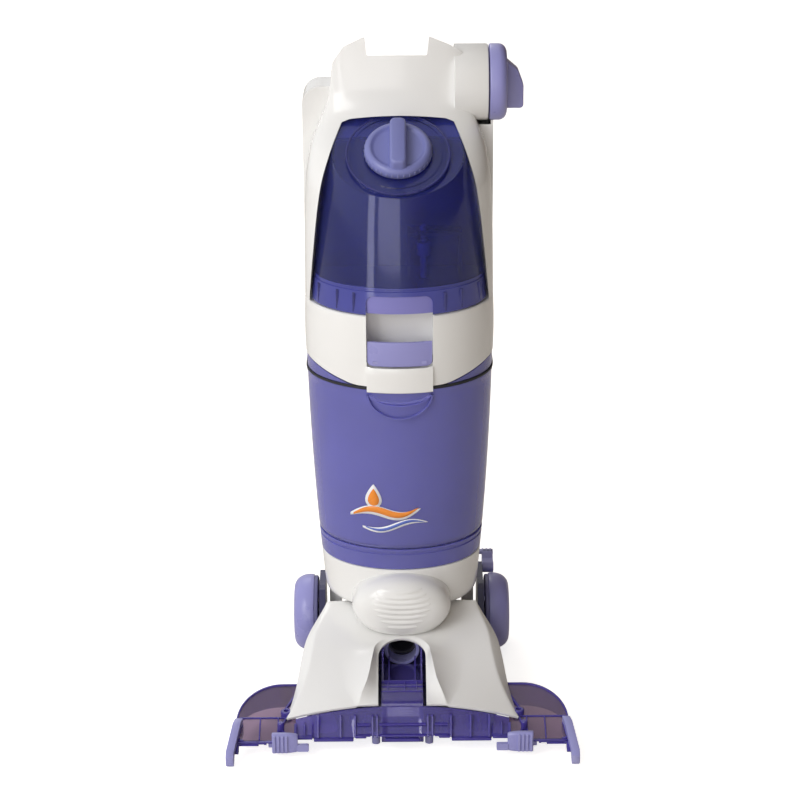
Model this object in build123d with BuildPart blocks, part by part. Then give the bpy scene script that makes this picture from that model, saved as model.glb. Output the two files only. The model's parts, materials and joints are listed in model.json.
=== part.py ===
from build123d import *
import math
import os

# Upright floor washer, without its handle: a wheeled base that washes, brushes and wipes the floor,
# and a reclining body that carries a clean-water tank above and a recovery tank below.
# Millimetres.  X is across the machine, -Y is the front, +Z is up.
# The origin is on the floor, in the middle of the machine's width and depth.

os.makedirs("parts", exist_ok=True)

# ---- body outline ----------------------------------------------------------------------------
WAIST_Z = 408.0          # height of the widest level, the top of the collar
WAIST_HALF = 92.5        # half width there
WAIST_FRONT = -15.0      # front of the body there
TAPER = 1.55e-4          # how the half width shrinks below the waist
LEAN = 1.63e-4           # how the front draws back below the waist
SIDE_Y = 63.0            # where the rounded front meets the straight sides
WALL = 2.5               # moulded wall

# ---- body levels -----------------------------------------------------------------------------
HOUSING_Z0, HOUSING_Z1 = 89.0, 137.0
FOOT_Z0, TANK_Z0, TANK_Z1 = 137.4, 160.0, 323.0
LID_Z0, LID_Z1 = 329.0, 333.6
TANK_BACK = 94.0
SPINE_Y0, SPINE_Y1 = 95.0, 98.0
REAR_LOW, REAR_HIGH = 139.0, 155.0
REAR_TOP = 606.0

# ---- clean tank and the opening it stands in -------------------------------------------------
# Opening of the top housing as (height, half width), a prism along Y.
OPENING = ((409.0, 87.4), (460.0, 82.6), (524.0, 74.4), (553.0, 65.5), (583.0, 51.0))
OPENING_TOP = 585.5
CLEAN_GAP = 0.8
CLEAN_Z0, CLEAN_BAND, CLEAN_Z1 = 409.0, 436.0, 584.0
CLEAN_SIDE, CLEAN_BACK = 58.0, 62.0
CLEAN_FRONT_LOW, CLEAN_FRONT_HIGH = -17.0, -2.0
SLOPE = 35.0             # tilt of the tank's top
RING_Y, RING_Z = 40.0, 551.0
RING_R = 49.5
CAP_R = 32.0
NECK_R = 24.0

# ---- base ------------------------------------------------------------------------------------
AXLE_Y, AXLE_Z, AXLE_R = 102.0, 40.0, 4.0
RUN = 0.05               # running clearance on a radius
WHEEL_R, WHEEL_X0, WHEEL_X1 = 40.0, 87.0, 113.0
ARM_X0, ARM_X1 = 62.0, 75.0
BLOCK_X0, BLOCK_X1 = 79.0, 85.5
DECK_Z, DECK_T = 31.0, 3.0
DECK_FRONT, DECK_REAR = -99.0, 80.0
# Base cover stations along Y: (Y, height at the middle, half width, height at the edge)
COVER = ((31.0, 88.0, 76.0, 86.5), (-17.0, 74.5, 97.0, 72.0),
         (-72.0, 56.0, 105.6, 46.0), (-109.0, 44.5, 113.0, 28.5))
COVER_T = 3.0
SLOT_HALF, SLOT_ARCH_Y = 23.5, -25.0

# ---- brush train -----------------------------------------------------------------------------
MODULE = 2.0
BRUSH_TEETH, PINION_TEETH = 19, 12
BRUSH_COUNT = 5
BRUSH_PITCH = MODULE * BRUSH_TEETH
BRUSH_Y = -75.0
GEAR_Z0, GEAR_Z1 = 18.0, 24.0
TUFT_Z0 = 1.2
PIN_R = 3.0
PINION_X = -BRUSH_PITCH
PINION_Y = BRUSH_Y + MODULE * (BRUSH_TEETH + PINION_TEETH) / 2
PRESSURE = math.radians(20.0)
BACKLASH = 0.36


def save(part, name):
    """Label a finished piece and write it."""
    part.label = name
    export_step(part, f"parts/{name}.step")


def half_width(z):
    return WAIST_HALF - TAPER * (WAIST_Z - z) ** 2


def front_y(z):
    return WAIST_FRONT + LEAN * (WAIST_Z - z) ** 2


def plan(half, front, side, back):
    """Plan outline: a half ellipse in front, straight sides and a flat back."""
    with BuildSketch() as outline:
        with BuildLine():
            EllipticalCenterArc((0, side), half, side - front, start_angle=180, arc_size=180)
            Line((half, side), (half, back))
            Line((half, back), (-half, back))
            Line((-half, back), (-half, side))
        make_face()
    return outline.sketch


def stack(levels):
    """Solid through plan outlines given as (z, half, front, side, back)."""
    with BuildPart() as solid:
        for z, half, front, side, back in levels:
            with BuildSketch(Plane.XY.offset(z)):
                add(plan(half, front, side, back))
        loft(ruled=True)
    return solid.part


def body_levels(heights, back, inset=0.0):
    """Levels of the body's own outline, drawn in by an inset."""
    return [(z, half_width(z) - inset, front_y(z) + inset, SIDE_Y, back - inset) for z in heights]


def box(x0, x1, y0, y1, z0, z1):
    """Block between two corners."""
    with BuildPart() as block:
        with BuildSketch(Plane.XY.offset(z0)):
            with Locations(((x0 + x1) / 2, (y0 + y1) / 2)):
                Rectangle(x1 - x0, y1 - y0)
        extrude(amount=z1 - z0)
    return block.part


def rod(x, y, z0, z1, radius, bore=0.0):
    """Upright rod or tube."""
    with BuildPart() as turned:
        with BuildSketch(Plane.XY.offset(z0)):
            with Locations((x, y)):
                Circle(radius)
                if bore:
                    Circle(bore, mode=Mode.SUBTRACT)
        extrude(amount=z1 - z0)
    return turned.part


def cross_rod(x0, x1, y, z, radius, bore=0.0):
    """Rod or tube along X."""
    with BuildPart() as turned:
        with BuildSketch(Plane((x0, y, z), x_dir=(0, 1, 0), z_dir=(1, 0, 0))):
            Circle(radius)
            if bore:
                Circle(bore, mode=Mode.SUBTRACT)
        extrude(amount=x1 - x0)
    return turned.part


def side_plate(x0, x1, points):
    """Plate across X whose outline is given as (Y, Z) points."""
    with BuildPart() as plate:
        with BuildSketch(Plane((x0, 0, 0), x_dir=(0, 1, 0), z_dir=(1, 0, 0))):
            with BuildLine():
                Polyline(*points, close=True)
            make_face()
        extrude(amount=x1 - x0)
    return plate.part


def front_prism(points, y0, y1):
    """Prism along Y whose outline is given as (X, Z) points."""
    with BuildPart() as prism:
        with BuildSketch(Plane((0, y0, 0), x_dir=(1, 0, 0), z_dir=(0, -1, 0))):
            with BuildLine():
                Polyline(*points, close=True)
            make_face()
        extrude(amount=y0 - y1)
    return prism.part


def pipe(points, radii, outer, inner):
    """Round pipe along runs joined by arcs."""
    with BuildPart() as tube:
        with BuildLine() as path:
            FilletPolyline(*points, radius=radii)
        with BuildSketch(Plane(path.line @ 0, z_dir=path.line % 0)):
            Circle(outer)
            Circle(inner, mode=Mode.SUBTRACT)
        sweep()
    return tube.part


def coil(x, y, z0, height, radius, wire, pitch):
    """Compression spring standing on z0."""
    with BuildPart() as spring:
        with BuildLine(Plane((x, y, z0 + wire))) as path:
            Helix(pitch, height - 2 * wire, radius)
        with BuildSketch(Plane(path.line @ 0, z_dir=path.line % 0)):
            Circle(wire)
        sweep(is_frenet=True)
    return spring.part


# ---- base frame and cover --------------------------------------------------------------------
CUFF_Y, CUFF_Z, CUFF_R = -6.0, 53.0, 18.0
GLIDE_X, GLIDE_Y, GLIDE_R = 26.0, -106.0, 4.0
PEDAL_Y, PEDAL_Z = 134.0, 76.0
SQUEEGEE_Y = -20.0
GUIDE_X = 68.0
MOTOR_R, MOTOR_Z1 = 13.0, 51.0


def make_base_frame():
    cheek = ((44, 31), (72, 80), (80, 82), (116, 82), (126, 60), (126, 34), (114, 22), (86, 22), (60, 31))
    with BuildPart() as base_frame:
        add(box(-BLOCK_X1, BLOCK_X1, DECK_FRONT, DECK_REAR, DECK_Z, DECK_Z + DECK_T))
        for x0 in (-BLOCK_X1, BLOCK_X0):
            add(side_plate(x0, x0 + BLOCK_X1 - BLOCK_X0, cheek))
            # rail that stiffens the deck edge ahead of the cheek
            add(box(x0, x0 + BLOCK_X1 - BLOCK_X0, -50, 46, DECK_Z - 8, DECK_Z))
        add(cross_rod(-BLOCK_X1 - 0.6, BLOCK_X1 + 0.6, AXLE_Y, AXLE_Z, AXLE_R + 0.02), mode=Mode.SUBTRACT)
        # ear and pin of the release pedal, on the right
        add(side_plate(BLOCK_X0, BLOCK_X1, ((112, 82), (134, 82), (140, 76), (134, 70), (122, 60))))
        add(cross_rod(BLOCK_X1, BLOCK_X1 + 12, PEDAL_Y, PEDAL_Z, 2.0))
        # upright that holds the hose cuff
        add(box(-27, 27, CUFF_Y - 1, CUFF_Y + 3, DECK_Z + DECK_T, 72.6))
        with BuildSketch(Plane((0, CUFF_Y - 2, CUFF_Z), x_dir=(1, 0, 0), z_dir=(0, 1, 0))):
            Circle(CUFF_R + 0.02)
        extrude(amount=8, mode=Mode.SUBTRACT)
        # bosses of the front glides, on a short nose at each side of the mouth
        for side in (-1, 1):
            x0, x1 = side * GLIDE_X - 5, side * GLIDE_X + 5
            add(box(x0, x1, GLIDE_Y - 4, DECK_FRONT, 24, DECK_Z + DECK_T - 5))
            add(box(x0, x1, DECK_FRONT - 3, DECK_FRONT + 1.8, 24, DECK_Z + DECK_T))
            add(rod(side * GLIDE_X, GLIDE_Y, 14, 26, GLIDE_R + 0.5))
        # guide pins of the squeegee carrier, and the hole for the brush drive
        for side in (-1, 1):
            add(rod(side * GUIDE_X, SQUEEGEE_Y, 12, DECK_Z, 2.0))
        add(rod(PINION_X, PINION_Y, DECK_Z - 1, DECK_Z + DECK_T + 1, 6), mode=Mode.SUBTRACT)
    save(base_frame.part, "base_frame")


def cover_section(y, middle, half, edge):
    """Arched cross-section of the cover at one station."""
    with BuildSketch(Plane((0, y, 0), x_dir=(1, 0, 0), z_dir=(0, -1, 0))) as section:
        with BuildLine():
            ThreePointArc((-half, edge), (0, middle), (half, edge))
            Line((half, edge), (half, edge - COVER_T))
            ThreePointArc((half, edge - COVER_T), (0, middle - COVER_T), (-half, edge - COVER_T))
            Line((-half, edge - COVER_T), (-half, edge))
        make_face()
    return section.sketch


def make_base_cover():
    with BuildPart() as base_cover:
        for station in COVER:
            add(cover_section(*station))
        loft(ruled=True)
        # channel slot, open at the front, with a round arch at its rear end
        with BuildSketch(Plane.XY.offset(20)):
            with BuildLine():
                Line((SLOT_HALF, DECK_FRONT - 20), (SLOT_HALF, SLOT_ARCH_Y - SLOT_HALF))
                ThreePointArc((SLOT_HALF, SLOT_ARCH_Y - SLOT_HALF), (0, SLOT_ARCH_Y),
                              (-SLOT_HALF, SLOT_ARCH_Y - SLOT_HALF))
                Line((-SLOT_HALF, SLOT_ARCH_Y - SLOT_HALF), (-SLOT_HALF, DECK_FRONT - 20))
                Line((-SLOT_HALF, DECK_FRONT - 20), (SLOT_HALF, DECK_FRONT - 20))
            make_face()
        extrude(amount=80, mode=Mode.SUBTRACT)
        # posts down to the deck
        for side in (-1, 1):
            for y, top in ((20, 80), (-60, 54)):
                add(rod(side * 70, y, DECK_Z + DECK_T, top, 5))
    save(base_cover.part, "base_cover")


# ---- clear nozzle, bumpers and latches -------------------------------------------------------
EAR_X0, EAR_X1 = 104.0, 162.0
EAR_REAR, EAR_FRONT = -61.0, -133.0
EAR_REAR_Z, EAR_FRONT_Z, EAR_LOW = 40.0, 17.0, 8.0
LATCH_X0, LATCH_X1 = 106.0, 131.0
LATCH_Z0, LATCH_Z1 = 5.0, 27.0
LATCH_TRAVEL = 8.0


def ear_outline(side, inset):
    """Plan outline of one ear of the nozzle."""
    with BuildSketch(Plane.XY.offset(EAR_LOW - 1 if inset else EAR_LOW)) as outline:
        with BuildLine():
            Line((side * (EAR_X0 + inset), EAR_REAR - inset), (side * (EAR_X0 + 14), EAR_REAR - inset))
            ThreePointArc((side * (EAR_X0 + 14), EAR_REAR - inset), (side * (148 - inset), -76 - inset),
                          (side * (EAR_X1 - inset), -108))
            Line((side * (EAR_X1 - inset), -108), (side * (EAR_X1 - inset), EAR_FRONT + inset))
            Line((side * (EAR_X1 - inset), EAR_FRONT + inset), (side * (EAR_X0 + inset), EAR_FRONT + inset))
            Line((side * (EAR_X0 + inset), EAR_FRONT + inset), (side * (EAR_X0 + inset), EAR_REAR - inset))
        make_face()
    return outline.sketch


def ear(side):
    """One ear: a sloping shell, open below."""
    slope = (EAR_REAR_Z - EAR_FRONT_Z) / (EAR_REAR - EAR_FRONT)
    with BuildPart() as shell:
        for inset in (0.0, WALL):
            add(ear_outline(side, inset))
            extrude(amount=40, mode=Mode.SUBTRACT if inset else Mode.ADD)
            if not inset:
                top = ((EAR_REAR + 4, EAR_REAR_Z + 4 * slope), (EAR_FRONT - 4, EAR_FRONT_Z - 4 * slope),
                       (EAR_FRONT - 4, 80), (EAR_REAR + 4, 80))
                x0 = min(side * EAR_X0, side * EAR_X1) - 2
                add(side_plate(x0, x0 + EAR_X1 - EAR_X0 + 4, top), mode=Mode.SUBTRACT)
    rear_y, rear_z = EAR_REAR - 0.5, EAR_REAR_Z - 0.5 * slope
    front_edge, front_z = EAR_FRONT + 0.5, EAR_FRONT_Z + 0.5 * slope
    roof = [(rear_y, rear_z), (front_edge, front_z), (front_edge, front_z - WALL), (rear_y, rear_z - WALL)]
    with BuildPart() as roof_plate:
        add(side_plate(min(side * EAR_X0, side * EAR_X1), max(side * EAR_X0, side * EAR_X1), roof))
        add(ear_outline(side, 0.0))
        extrude(amount=60, mode=Mode.INTERSECT)
    with BuildPart() as whole:
        add(shell.part)
        add(roof_plate.part)
        # slot for the latch in the front wall
        slot_x = sorted((side * (LATCH_X0 + 3.5), side * (LATCH_X1 + LATCH_TRAVEL - 2.5)))
        add(box(slot_x[0], slot_x[1], EAR_FRONT - 1, EAR_FRONT + WALL + 1, 9.9, 13.6), mode=Mode.SUBTRACT)
    return whole.part


WINDOW = ((-109.6, 46.0), (-126.0, 12.0), (-128.0, 9.0), (-125.4, 9.0), (-123.4, 12.0), (-107.0, 46.0))


def make_clear_nozzle():
    y, middle, half, edge = COVER[-1]
    with BuildPart() as clear_nozzle:
        add(side_plate(-EAR_X0, EAR_X0, WINDOW))
        # the window stops at the cover's arched edge
        with BuildSketch(Plane((0, y + 6, 0), x_dir=(1, 0, 0), z_dir=(0, -1, 0))):
            with BuildLine():
                ThreePointArc((-half, edge), (0, middle), (half, edge))
                Polyline((half, edge), (half, 90), (-half, 90), (-half, edge))
            make_face()
        extrude(amount=30, mode=Mode.SUBTRACT)
        add(box(-half, half, y - 0.4, y + 6, 20, 60), mode=Mode.SUBTRACT)
        # upright ribs in front of the window
        for side in (-1, 1):
            for x in (SLOT_HALF + 1.5, 52.0, 80.0):
                rib = ((-124.5, 12), (-128, 12), (-115.5, 37), (-112.5, 37))
                add(side_plate(side * x - 1, side * x + 1, rib))
            add(ear(side))
            # end wall that ties the window to the ear
            joint = ((-128, 9), (-133, 9), (-133, 16), (-115, 26), (-113, 22), (-124, 9))
            add(side_plate(min(side * 103, side * 105), max(side * 103, side * 105), joint))
    save(clear_nozzle.part, "clear_nozzle")


def make_suction_channel():
    """Channel in the slot: a roofed mouth at the floor, then an open trough back to the hose cuff."""
    half = SLOT_HALF - 3.1
    outer = ((-122.6, 5), (-122.6, 11), (-106.6, 43.5), (-90, 46), (-68, 46), (-13, 60), (-13, 34.3),
             (-99.2, 34.3), (-101, 30), (-110, 5))
    inner = ((-120, 4), (-120, 12), (-105, 40.5), (-89.5, 43.5), (-70, 43.5), (-70, 70), (-12, 70),
             (-12, 37), (-97.5, 37), (-103.5, 28), (-112.5, 4))
    with BuildPart() as suction_channel:
        add(side_plate(-half, half, outer))
        add(side_plate(-half + WALL, half - WALL, inner), mode=Mode.SUBTRACT)
    save(suction_channel.part, "suction_channel")


def make_bumpers():
    strip = ((-110, 31), (-119, 31), (-150, 15), (-155, 12), (-155, 1.2), (-146, 1.2), (-144, 9),
             (-110, 25))
    for side, name in ((-1, "bumper_left"), (1, "bumper_right")):
        with BuildPart() as bumper:
            add(side_plate(min(side * EAR_X1, side * 170), max(side * EAR_X1, side * 170), strip))
        save(bumper.part, name)


def make_latches():
    for side, name in ((-1, "nozzle_latch_left"), (1, "nozzle_latch_right")):
        front = EAR_FRONT - 0.3
        span = sorted((side * LATCH_X0, side * LATCH_X1))
        inner = sorted((side * 95.5, side * LATCH_X0))
        neck = sorted((side * (LATCH_X0 + 4), side * (LATCH_X1 - 3)))
        flange = sorted((side * (LATCH_X0 + 1), side * (LATCH_X1 - 1)))
        with BuildPart() as latch:
            add(box(span[0], span[1], front - 5, front, LATCH_Z0, LATCH_Z1))
            for step in range(4):
                x = side * (LATCH_X1 - 2.0 - 4.0 * step)
                add(box(x - 1.1, x + 1.1, front - 6.6, front - 5, LATCH_Z0 + 1, LATCH_Z1 - 1))
            add(box(inner[0], inner[1], front - 5, front, 8, 15))
            add(box(neck[0], neck[1], front, EAR_FRONT + WALL + 0.4, 10, 13.5))
            add(box(flange[0], flange[1], EAR_FRONT + WALL + 0.4, EAR_FRONT + WALL + 2, 8.5, 15))
        save(latch.part, name)


def make_glides():
    with BuildPart() as front_glides:
        for side in (-1, 1):
            with BuildSketch(Plane.XY):
                with Locations((side * GLIDE_X, GLIDE_Y)):
                    Circle(GLIDE_R)
            extrude(amount=14)
    save(front_glides.part, "front_glides")


# ---- brush train, squeegee -------------------------------------------------------------------
def gear_points(teeth, phase):
    """Outline of an involute gear, a little thin in the tooth for free running."""
    pitch_r = MODULE * teeth / 2
    base_r = pitch_r * math.cos(PRESSURE)
    tip_r = pitch_r + 0.8 * MODULE
    root_r = pitch_r - 1.15 * MODULE
    half_tooth = (math.pi * MODULE / 2 - BACKLASH) / 2 / pitch_r
    flank = []
    for step in range(4):
        radius = max(base_r, root_r) + (tip_r - max(base_r, root_r)) * step / 3
        angle = math.acos(base_r / radius)
        spread = half_tooth + math.tan(PRESSURE) - PRESSURE - math.tan(angle) + angle
        flank.append((radius, spread))
    flank.insert(0, (root_r - 0.1, flank[0][1]))
    points = []
    for tooth in range(teeth):
        middle = phase + 2 * math.pi * tooth / teeth
        for radius, spread in flank:
            points.append((radius * math.cos(middle - spread), radius * math.sin(middle - spread)))
        for radius, spread in reversed(flank):
            points.append((radius * math.cos(middle + spread), radius * math.sin(middle + spread)))
    return points


def make_brushes():
    for index in range(BRUSH_COUNT):
        x = BRUSH_PITCH * (index - (BRUSH_COUNT - 1) / 2)
        with BuildPart() as brush:
            with BuildSketch(Plane((x, BRUSH_Y, GEAR_Z0))):
                with BuildLine():
                    Polyline(*gear_points(BRUSH_TEETH, 0.0), close=True)
                make_face()
                Circle(PIN_R + RUN, mode=Mode.SUBTRACT)
            extrude(amount=GEAR_Z1 - GEAR_Z0)
            with BuildSketch(Plane((x, BRUSH_Y, TUFT_Z0))):
                with PolarLocations(12.2, 10):
                    Circle(2.6)
            extrude(amount=GEAR_Z0 + 0.5 - TUFT_Z0)
        save(brush.part, f"brush_{index + 1}")


def make_brush_block():
    half = BRUSH_PITCH * 2 + 21
    with BuildPart() as brush_block:
        add(box(-half, half, BRUSH_Y - 21.5, BRUSH_Y + 21.5, 25, 28.6))
        for index in range(BRUSH_COUNT):
            x = BRUSH_PITCH * (index - (BRUSH_COUNT - 1) / 2)
            add(rod(x, BRUSH_Y, 17.6, 25, PIN_R))
        # clearance around the drive pinion, and side hangers up to the deck
        add(rod(PINION_X, PINION_Y, 24, 30, 15), mode=Mode.SUBTRACT)
        for side in (-1, 1):
            add(box(side * 60 - 8, side * 60 + 8, BRUSH_Y - 20, BRUSH_Y + 20, 28.6, DECK_Z))
    save(brush_block.part, "brush_block")
    with BuildPart() as brush_screws:
        for index in range(BRUSH_COUNT):
            x = BRUSH_PITCH * (index - (BRUSH_COUNT - 1) / 2)
            add(rod(x, BRUSH_Y, 15.4, 17.6, 5.2))
    save(brush_screws.part, "brush_screws")


def make_brush_drive():
    with BuildPart() as brush_pinion:
        with BuildSketch(Plane((PINION_X, PINION_Y, GEAR_Z0))):
            with BuildLine():
                Polyline(*gear_points(PINION_TEETH, math.radians(7.5)), close=True)
            make_face()
        extrude(amount=GEAR_Z1 - GEAR_Z0)
        add(rod(PINION_X, PINION_Y, GEAR_Z0 - 1, MOTOR_Z1 - 3, 2.0))
    save(brush_pinion.part, "brush_pinion")
    with BuildPart() as brush_motor:
        add(rod(PINION_X, PINION_Y, DECK_Z + DECK_T, MOTOR_Z1, MOTOR_R))
        fillet(brush_motor.faces().sort_by(Axis.Z)[-1].edges(), 2.0)
        add(rod(PINION_X, PINION_Y, DECK_Z, MOTOR_Z1 - 2.5, 2.0 + RUN), mode=Mode.SUBTRACT)
    save(brush_motor.part, "brush_motor")
    # rounded cover of the brush block's end bearing, seen through the nozzle
    with BuildPart() as drive_cover:
        with BuildSketch(Plane((-77.5, BRUSH_Y - 21.5, 16), x_dir=(1, 0, 0), z_dir=(0, -1, 0))):
            Circle(14.5)
        extrude(amount=13)
        fillet(drive_cover.faces().sort_by(Axis.Y)[0].edges(), 9.0)
        add(box(-100, -55, -120, -90, 0, 12), mode=Mode.SUBTRACT)
    save(drive_cover.part, "drive_cover")


def make_squeegee():
    with BuildPart() as squeegee_carrier:
        add(box(-92, 92, SQUEEGEE_Y - 5, SQUEEGEE_Y + 5, 13, 22))
        add(box(-92.5, 92.5, SQUEEGEE_Y - 1.5, SQUEEGEE_Y + 1.5, 12, 18), mode=Mode.SUBTRACT)
        for side in (-1, 1):
            add(rod(side * GUIDE_X, SQUEEGEE_Y, 12, 23, 2.0 + RUN), mode=Mode.SUBTRACT)
            # the ends pass under the deck's side rails
            x0 = min(side * BLOCK_X0, side * BLOCK_X1) - 1.0
            add(box(x0, x0 + BLOCK_X1 - BLOCK_X0 + 2.0, SQUEEGEE_Y - 6, SQUEEGEE_Y + 6, 15, 24),
                mode=Mode.SUBTRACT)
    save(squeegee_carrier.part, "squeegee_carrier")
    with BuildPart() as squeegee_blade:
        add(box(-64, 64, SQUEEGEE_Y - 1.5, SQUEEGEE_Y + 1.5, 1.4, 18))
    save(squeegee_blade.part, "squeegee_blade")


# ---- wheels, axle, pedal ---------------------------------------------------------------------
def make_wheels():
    for side, name in ((-1, "left"), (1, "right")):
        x_in = side * WHEEL_X0
        plane = Plane((x_in, AXLE_Y, AXLE_Z), x_dir=(0, 1, 0), z_dir=(side, 0, 0))
        width = WHEEL_X1 - WHEEL_X0
        with BuildPart() as wheel:
            with BuildSketch(plane):
                Circle(WHEEL_R)
            extrude(amount=width)
            fillet(wheel.faces().sort_by(Axis.X)[-1 if side > 0 else 0].edges(), 10.0)
            chamfer(wheel.faces().sort_by(Axis.X)[0 if side > 0 else -1].edges(), 1.5)
            with BuildSketch(plane):
                Circle(AXLE_R + RUN)
            extrude(amount=width, mode=Mode.SUBTRACT)
            with BuildSketch(plane):
                Circle(WHEEL_R - 8)
                Circle(10, mode=Mode.SUBTRACT)
            extrude(amount=14, mode=Mode.SUBTRACT)
            for turn in range(5):
                angle = turn * 72.0
                with BuildSketch(plane):
                    with Locations(Rotation(0, 0, angle) * Location((20.5, 0, 0))):
                        Rectangle(25, 2.4)
                extrude(amount=14)
        save(wheel.part, f"wheel_{name}")
    with BuildPart() as axle:
        add(cross_rod(-WHEEL_X1 + 2, WHEEL_X1 - 2, AXLE_Y, AXLE_Z, AXLE_R))
    save(axle.part, "axle")


def make_pedal():
    x0 = BLOCK_X1 + 0.4
    tread = ((PEDAL_Y - 3, 71.5), (PEDAL_Y + 4, 69), (152, 67), (155, 69), (155, 85), (152, 88),
             (146, 88), (141, 82.5), (PEDAL_Y, 82))
    with BuildPart() as release_pedal:
        add(side_plate(x0, x0 + 12, tread))
        add(box(80, 98, 146, 155, 84, 88))
        add(cross_rod(x0, x0 + 12, PEDAL_Y, PEDAL_Z, 6))
        add(cross_rod(x0 - 1, x0 + 11.7, PEDAL_Y, PEDAL_Z, 2.0 + RUN), mode=Mode.SUBTRACT)
    save(release_pedal.part, "release_pedal")


# ---- hose and ducts --------------------------------------------------------------------------
ELBOW_START = (0.0, 80.0, 64.0)
RISER_Y = 114.2
PORT_X, PORT_Z = 32.0, 300.0
DUCT_R, DUCT_BORE = 15.0, 12.5


def make_ducts():
    with BuildPart() as hose_cuff:
        with BuildSketch(Plane((0, CUFF_Y - 6, CUFF_Z), x_dir=(1, 0, 0), z_dir=(0, 1, 0))):
            Circle(CUFF_R)
            Circle(CUFF_R - 3.6, mode=Mode.SUBTRACT)
        extrude(amount=16)
    save(hose_cuff.part, "hose_cuff")
    start = Vector(0, CUFF_Y + 10, CUFF_Z)
    run = Vector(*ELBOW_START) - start
    with BuildPart() as suction_hose:
        with BuildSketch(Plane(start + run * 0.045, x_dir=(1, 0, 0), z_dir=run)):
            Circle(14.5)
            Circle(12.5, mode=Mode.SUBTRACT)
        extrude(amount=run.length * 0.91)
    save(suction_hose.part, "suction_hose")
    with BuildPart() as duct_elbow:
        add(pipe((ELBOW_START, (0, RISER_Y, ELBOW_START[2]), (0, RISER_Y, HOUSING_Z1 - 3.4)), 26,
                 DUCT_R, DUCT_BORE))
    save(duct_elbow.part, "duct_elbow")
    with BuildPart() as riser_duct:
        route = ((0, RISER_Y, HOUSING_Z1 - 3.2), (0, RISER_Y, 165), (-PORT_X, 115.6, 235),
                 (-PORT_X, 115.6, PORT_Z), (-PORT_X, SPINE_Y1 + 0.1, PORT_Z))
        add(pipe(route, (30, 30, 17), DUCT_R, DUCT_BORE))
    save(riser_duct.part, "riser_duct")
    with BuildPart() as air_duct:
        route = ((PORT_X, SPINE_Y1 + 0.1, PORT_Z), (PORT_X, 115.6, PORT_Z), (PORT_X, 115.6, 345),
                 (0, 110, 390), (0, 110, FAN_Z0 - 0.2))
        add(pipe(route, (17, 30, 25), DUCT_R, DUCT_BORE))
    save(air_duct.part, "air_duct")


DOME_HALF, DOME_HIGH, DOME_Z, DOME_BACK, DOME_FRONT = 50.0, 30.0, 102.0, 30.0, -28.0


def dome_solid(inset):
    """Oval dome bulging to the front, drawn in by an inset."""
    with BuildPart() as solid:
        for share in (0.0, 0.5, 0.75, 0.88, 0.96, 1.0):
            y = DOME_BACK + (DOME_FRONT + inset - DOME_BACK) * share
            scale_by = math.sqrt(1.0 - 0.86 * share ** 5)
            with BuildSketch(Plane((0, y, DOME_Z), x_dir=(1, 0, 0), z_dir=(0, -1, 0))):
                Ellipse((DOME_HALF - inset) * scale_by, (DOME_HIGH - inset) * scale_by)
        loft(ruled=True)
    return solid.part


# ---- lower housing, dome, spine, collar ------------------------------------------------------
def make_lower_housing():
    heights = (HOUSING_Z0, 113.0, HOUSING_Z1)
    outer = stack(body_levels(heights, REAR_LOW))
    low = [(HOUSING_Z0 - 1, half_width(HOUSING_Z0) - 3, front_y(HOUSING_Z0) + 3, SIDE_Y, REAR_LOW - 3)]
    inner = stack(low + body_levels((113.0, HOUSING_Z1 - 3), REAR_LOW, 3.0))
    arm = ((AXLE_Y - 17, HOUSING_Z1 - 2), (AXLE_Y + 17, HOUSING_Z1 - 2), (AXLE_Y + 17, AXLE_Z),
           (AXLE_Y - 17, AXLE_Z))
    with BuildPart() as lower_housing:
        add(outer)
        add(inner, mode=Mode.SUBTRACT)
        for x0 in (-ARM_X1, ARM_X0):
            x1 = x0 + ARM_X1 - ARM_X0
            add(side_plate(x0 + 1.0 if x0 < 0 else x0, x1 if x0 < 0 else x1 - 1.0, arm))
            add(cross_rod(x0 + 1.0 if x0 < 0 else x0, x1 if x0 < 0 else x1 - 1.0, AXLE_Y, AXLE_Z, 17))
        add(cross_rod(-ARM_X1 - 1, ARM_X1 + 1, AXLE_Y, AXLE_Z, AXLE_R + RUN), mode=Mode.SUBTRACT)
        add(rod(0, RISER_Y, HOUSING_Z1 - 4, HOUSING_Z1 + 1, DUCT_R + 0.1), mode=Mode.SUBTRACT)
    save(lower_housing.part, "lower_housing")

    # oval dome on the front of the lower housing, with arched ribs
    with BuildPart() as front_dome:
        add(dome_solid(0.0))
        add(dome_solid(3.0), mode=Mode.SUBTRACT)
        add(stack(body_levels((60.0, HOUSING_Z0, 113.0, HOUSING_Z1), REAR_LOW)), mode=Mode.SUBTRACT)
        # sloping underside, clear of the base cover
        add(side_plate(-60, 60, ((-36, 71), (34, 92.5), (34, 40), (-36, 40))), mode=Mode.SUBTRACT)
        for row in range(5):
            z = 92.0 + 5.0 * row
            add(box(-17, 17, -29.2, -26.5, z - 1.1, z + 1.1))
    save(front_dome.part, "front_dome")


def spine_points(z0, z1):
    """Front-view outline of the spine between two heights."""
    heights = [z0 + (z1 - z0) * step / 5 for step in range(6)]
    right = [(half_width(z), z) for z in heights]
    left = [(-x, z) for x, z in reversed(right)]
    return right + left


def make_spine():
    with BuildPart() as spine_plate:
        add(front_prism(spine_points(HOUSING_Z1 + 0.2, WAIST_Z), SPINE_Y0, SPINE_Y1))
        with BuildSketch(Plane((0, SPINE_Y0 - 1, PORT_Z), x_dir=(1, 0, 0), z_dir=(0, 1, 0))):
            with Locations((-PORT_X, 0), (PORT_X, 0)):
                Circle(DUCT_BORE)
        extrude(amount=5, mode=Mode.SUBTRACT)
    save(spine_plate.part, "spine_plate")


RECESS_HALF, RECESS_Z0, RECESS_BACK = 32.0, 356.0, 11.0
BUTTON_Z0, BUTTON_Z1 = 362.0, 381.0
SPRING_X, SPRING_Y = 19.0, -2.0
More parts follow.
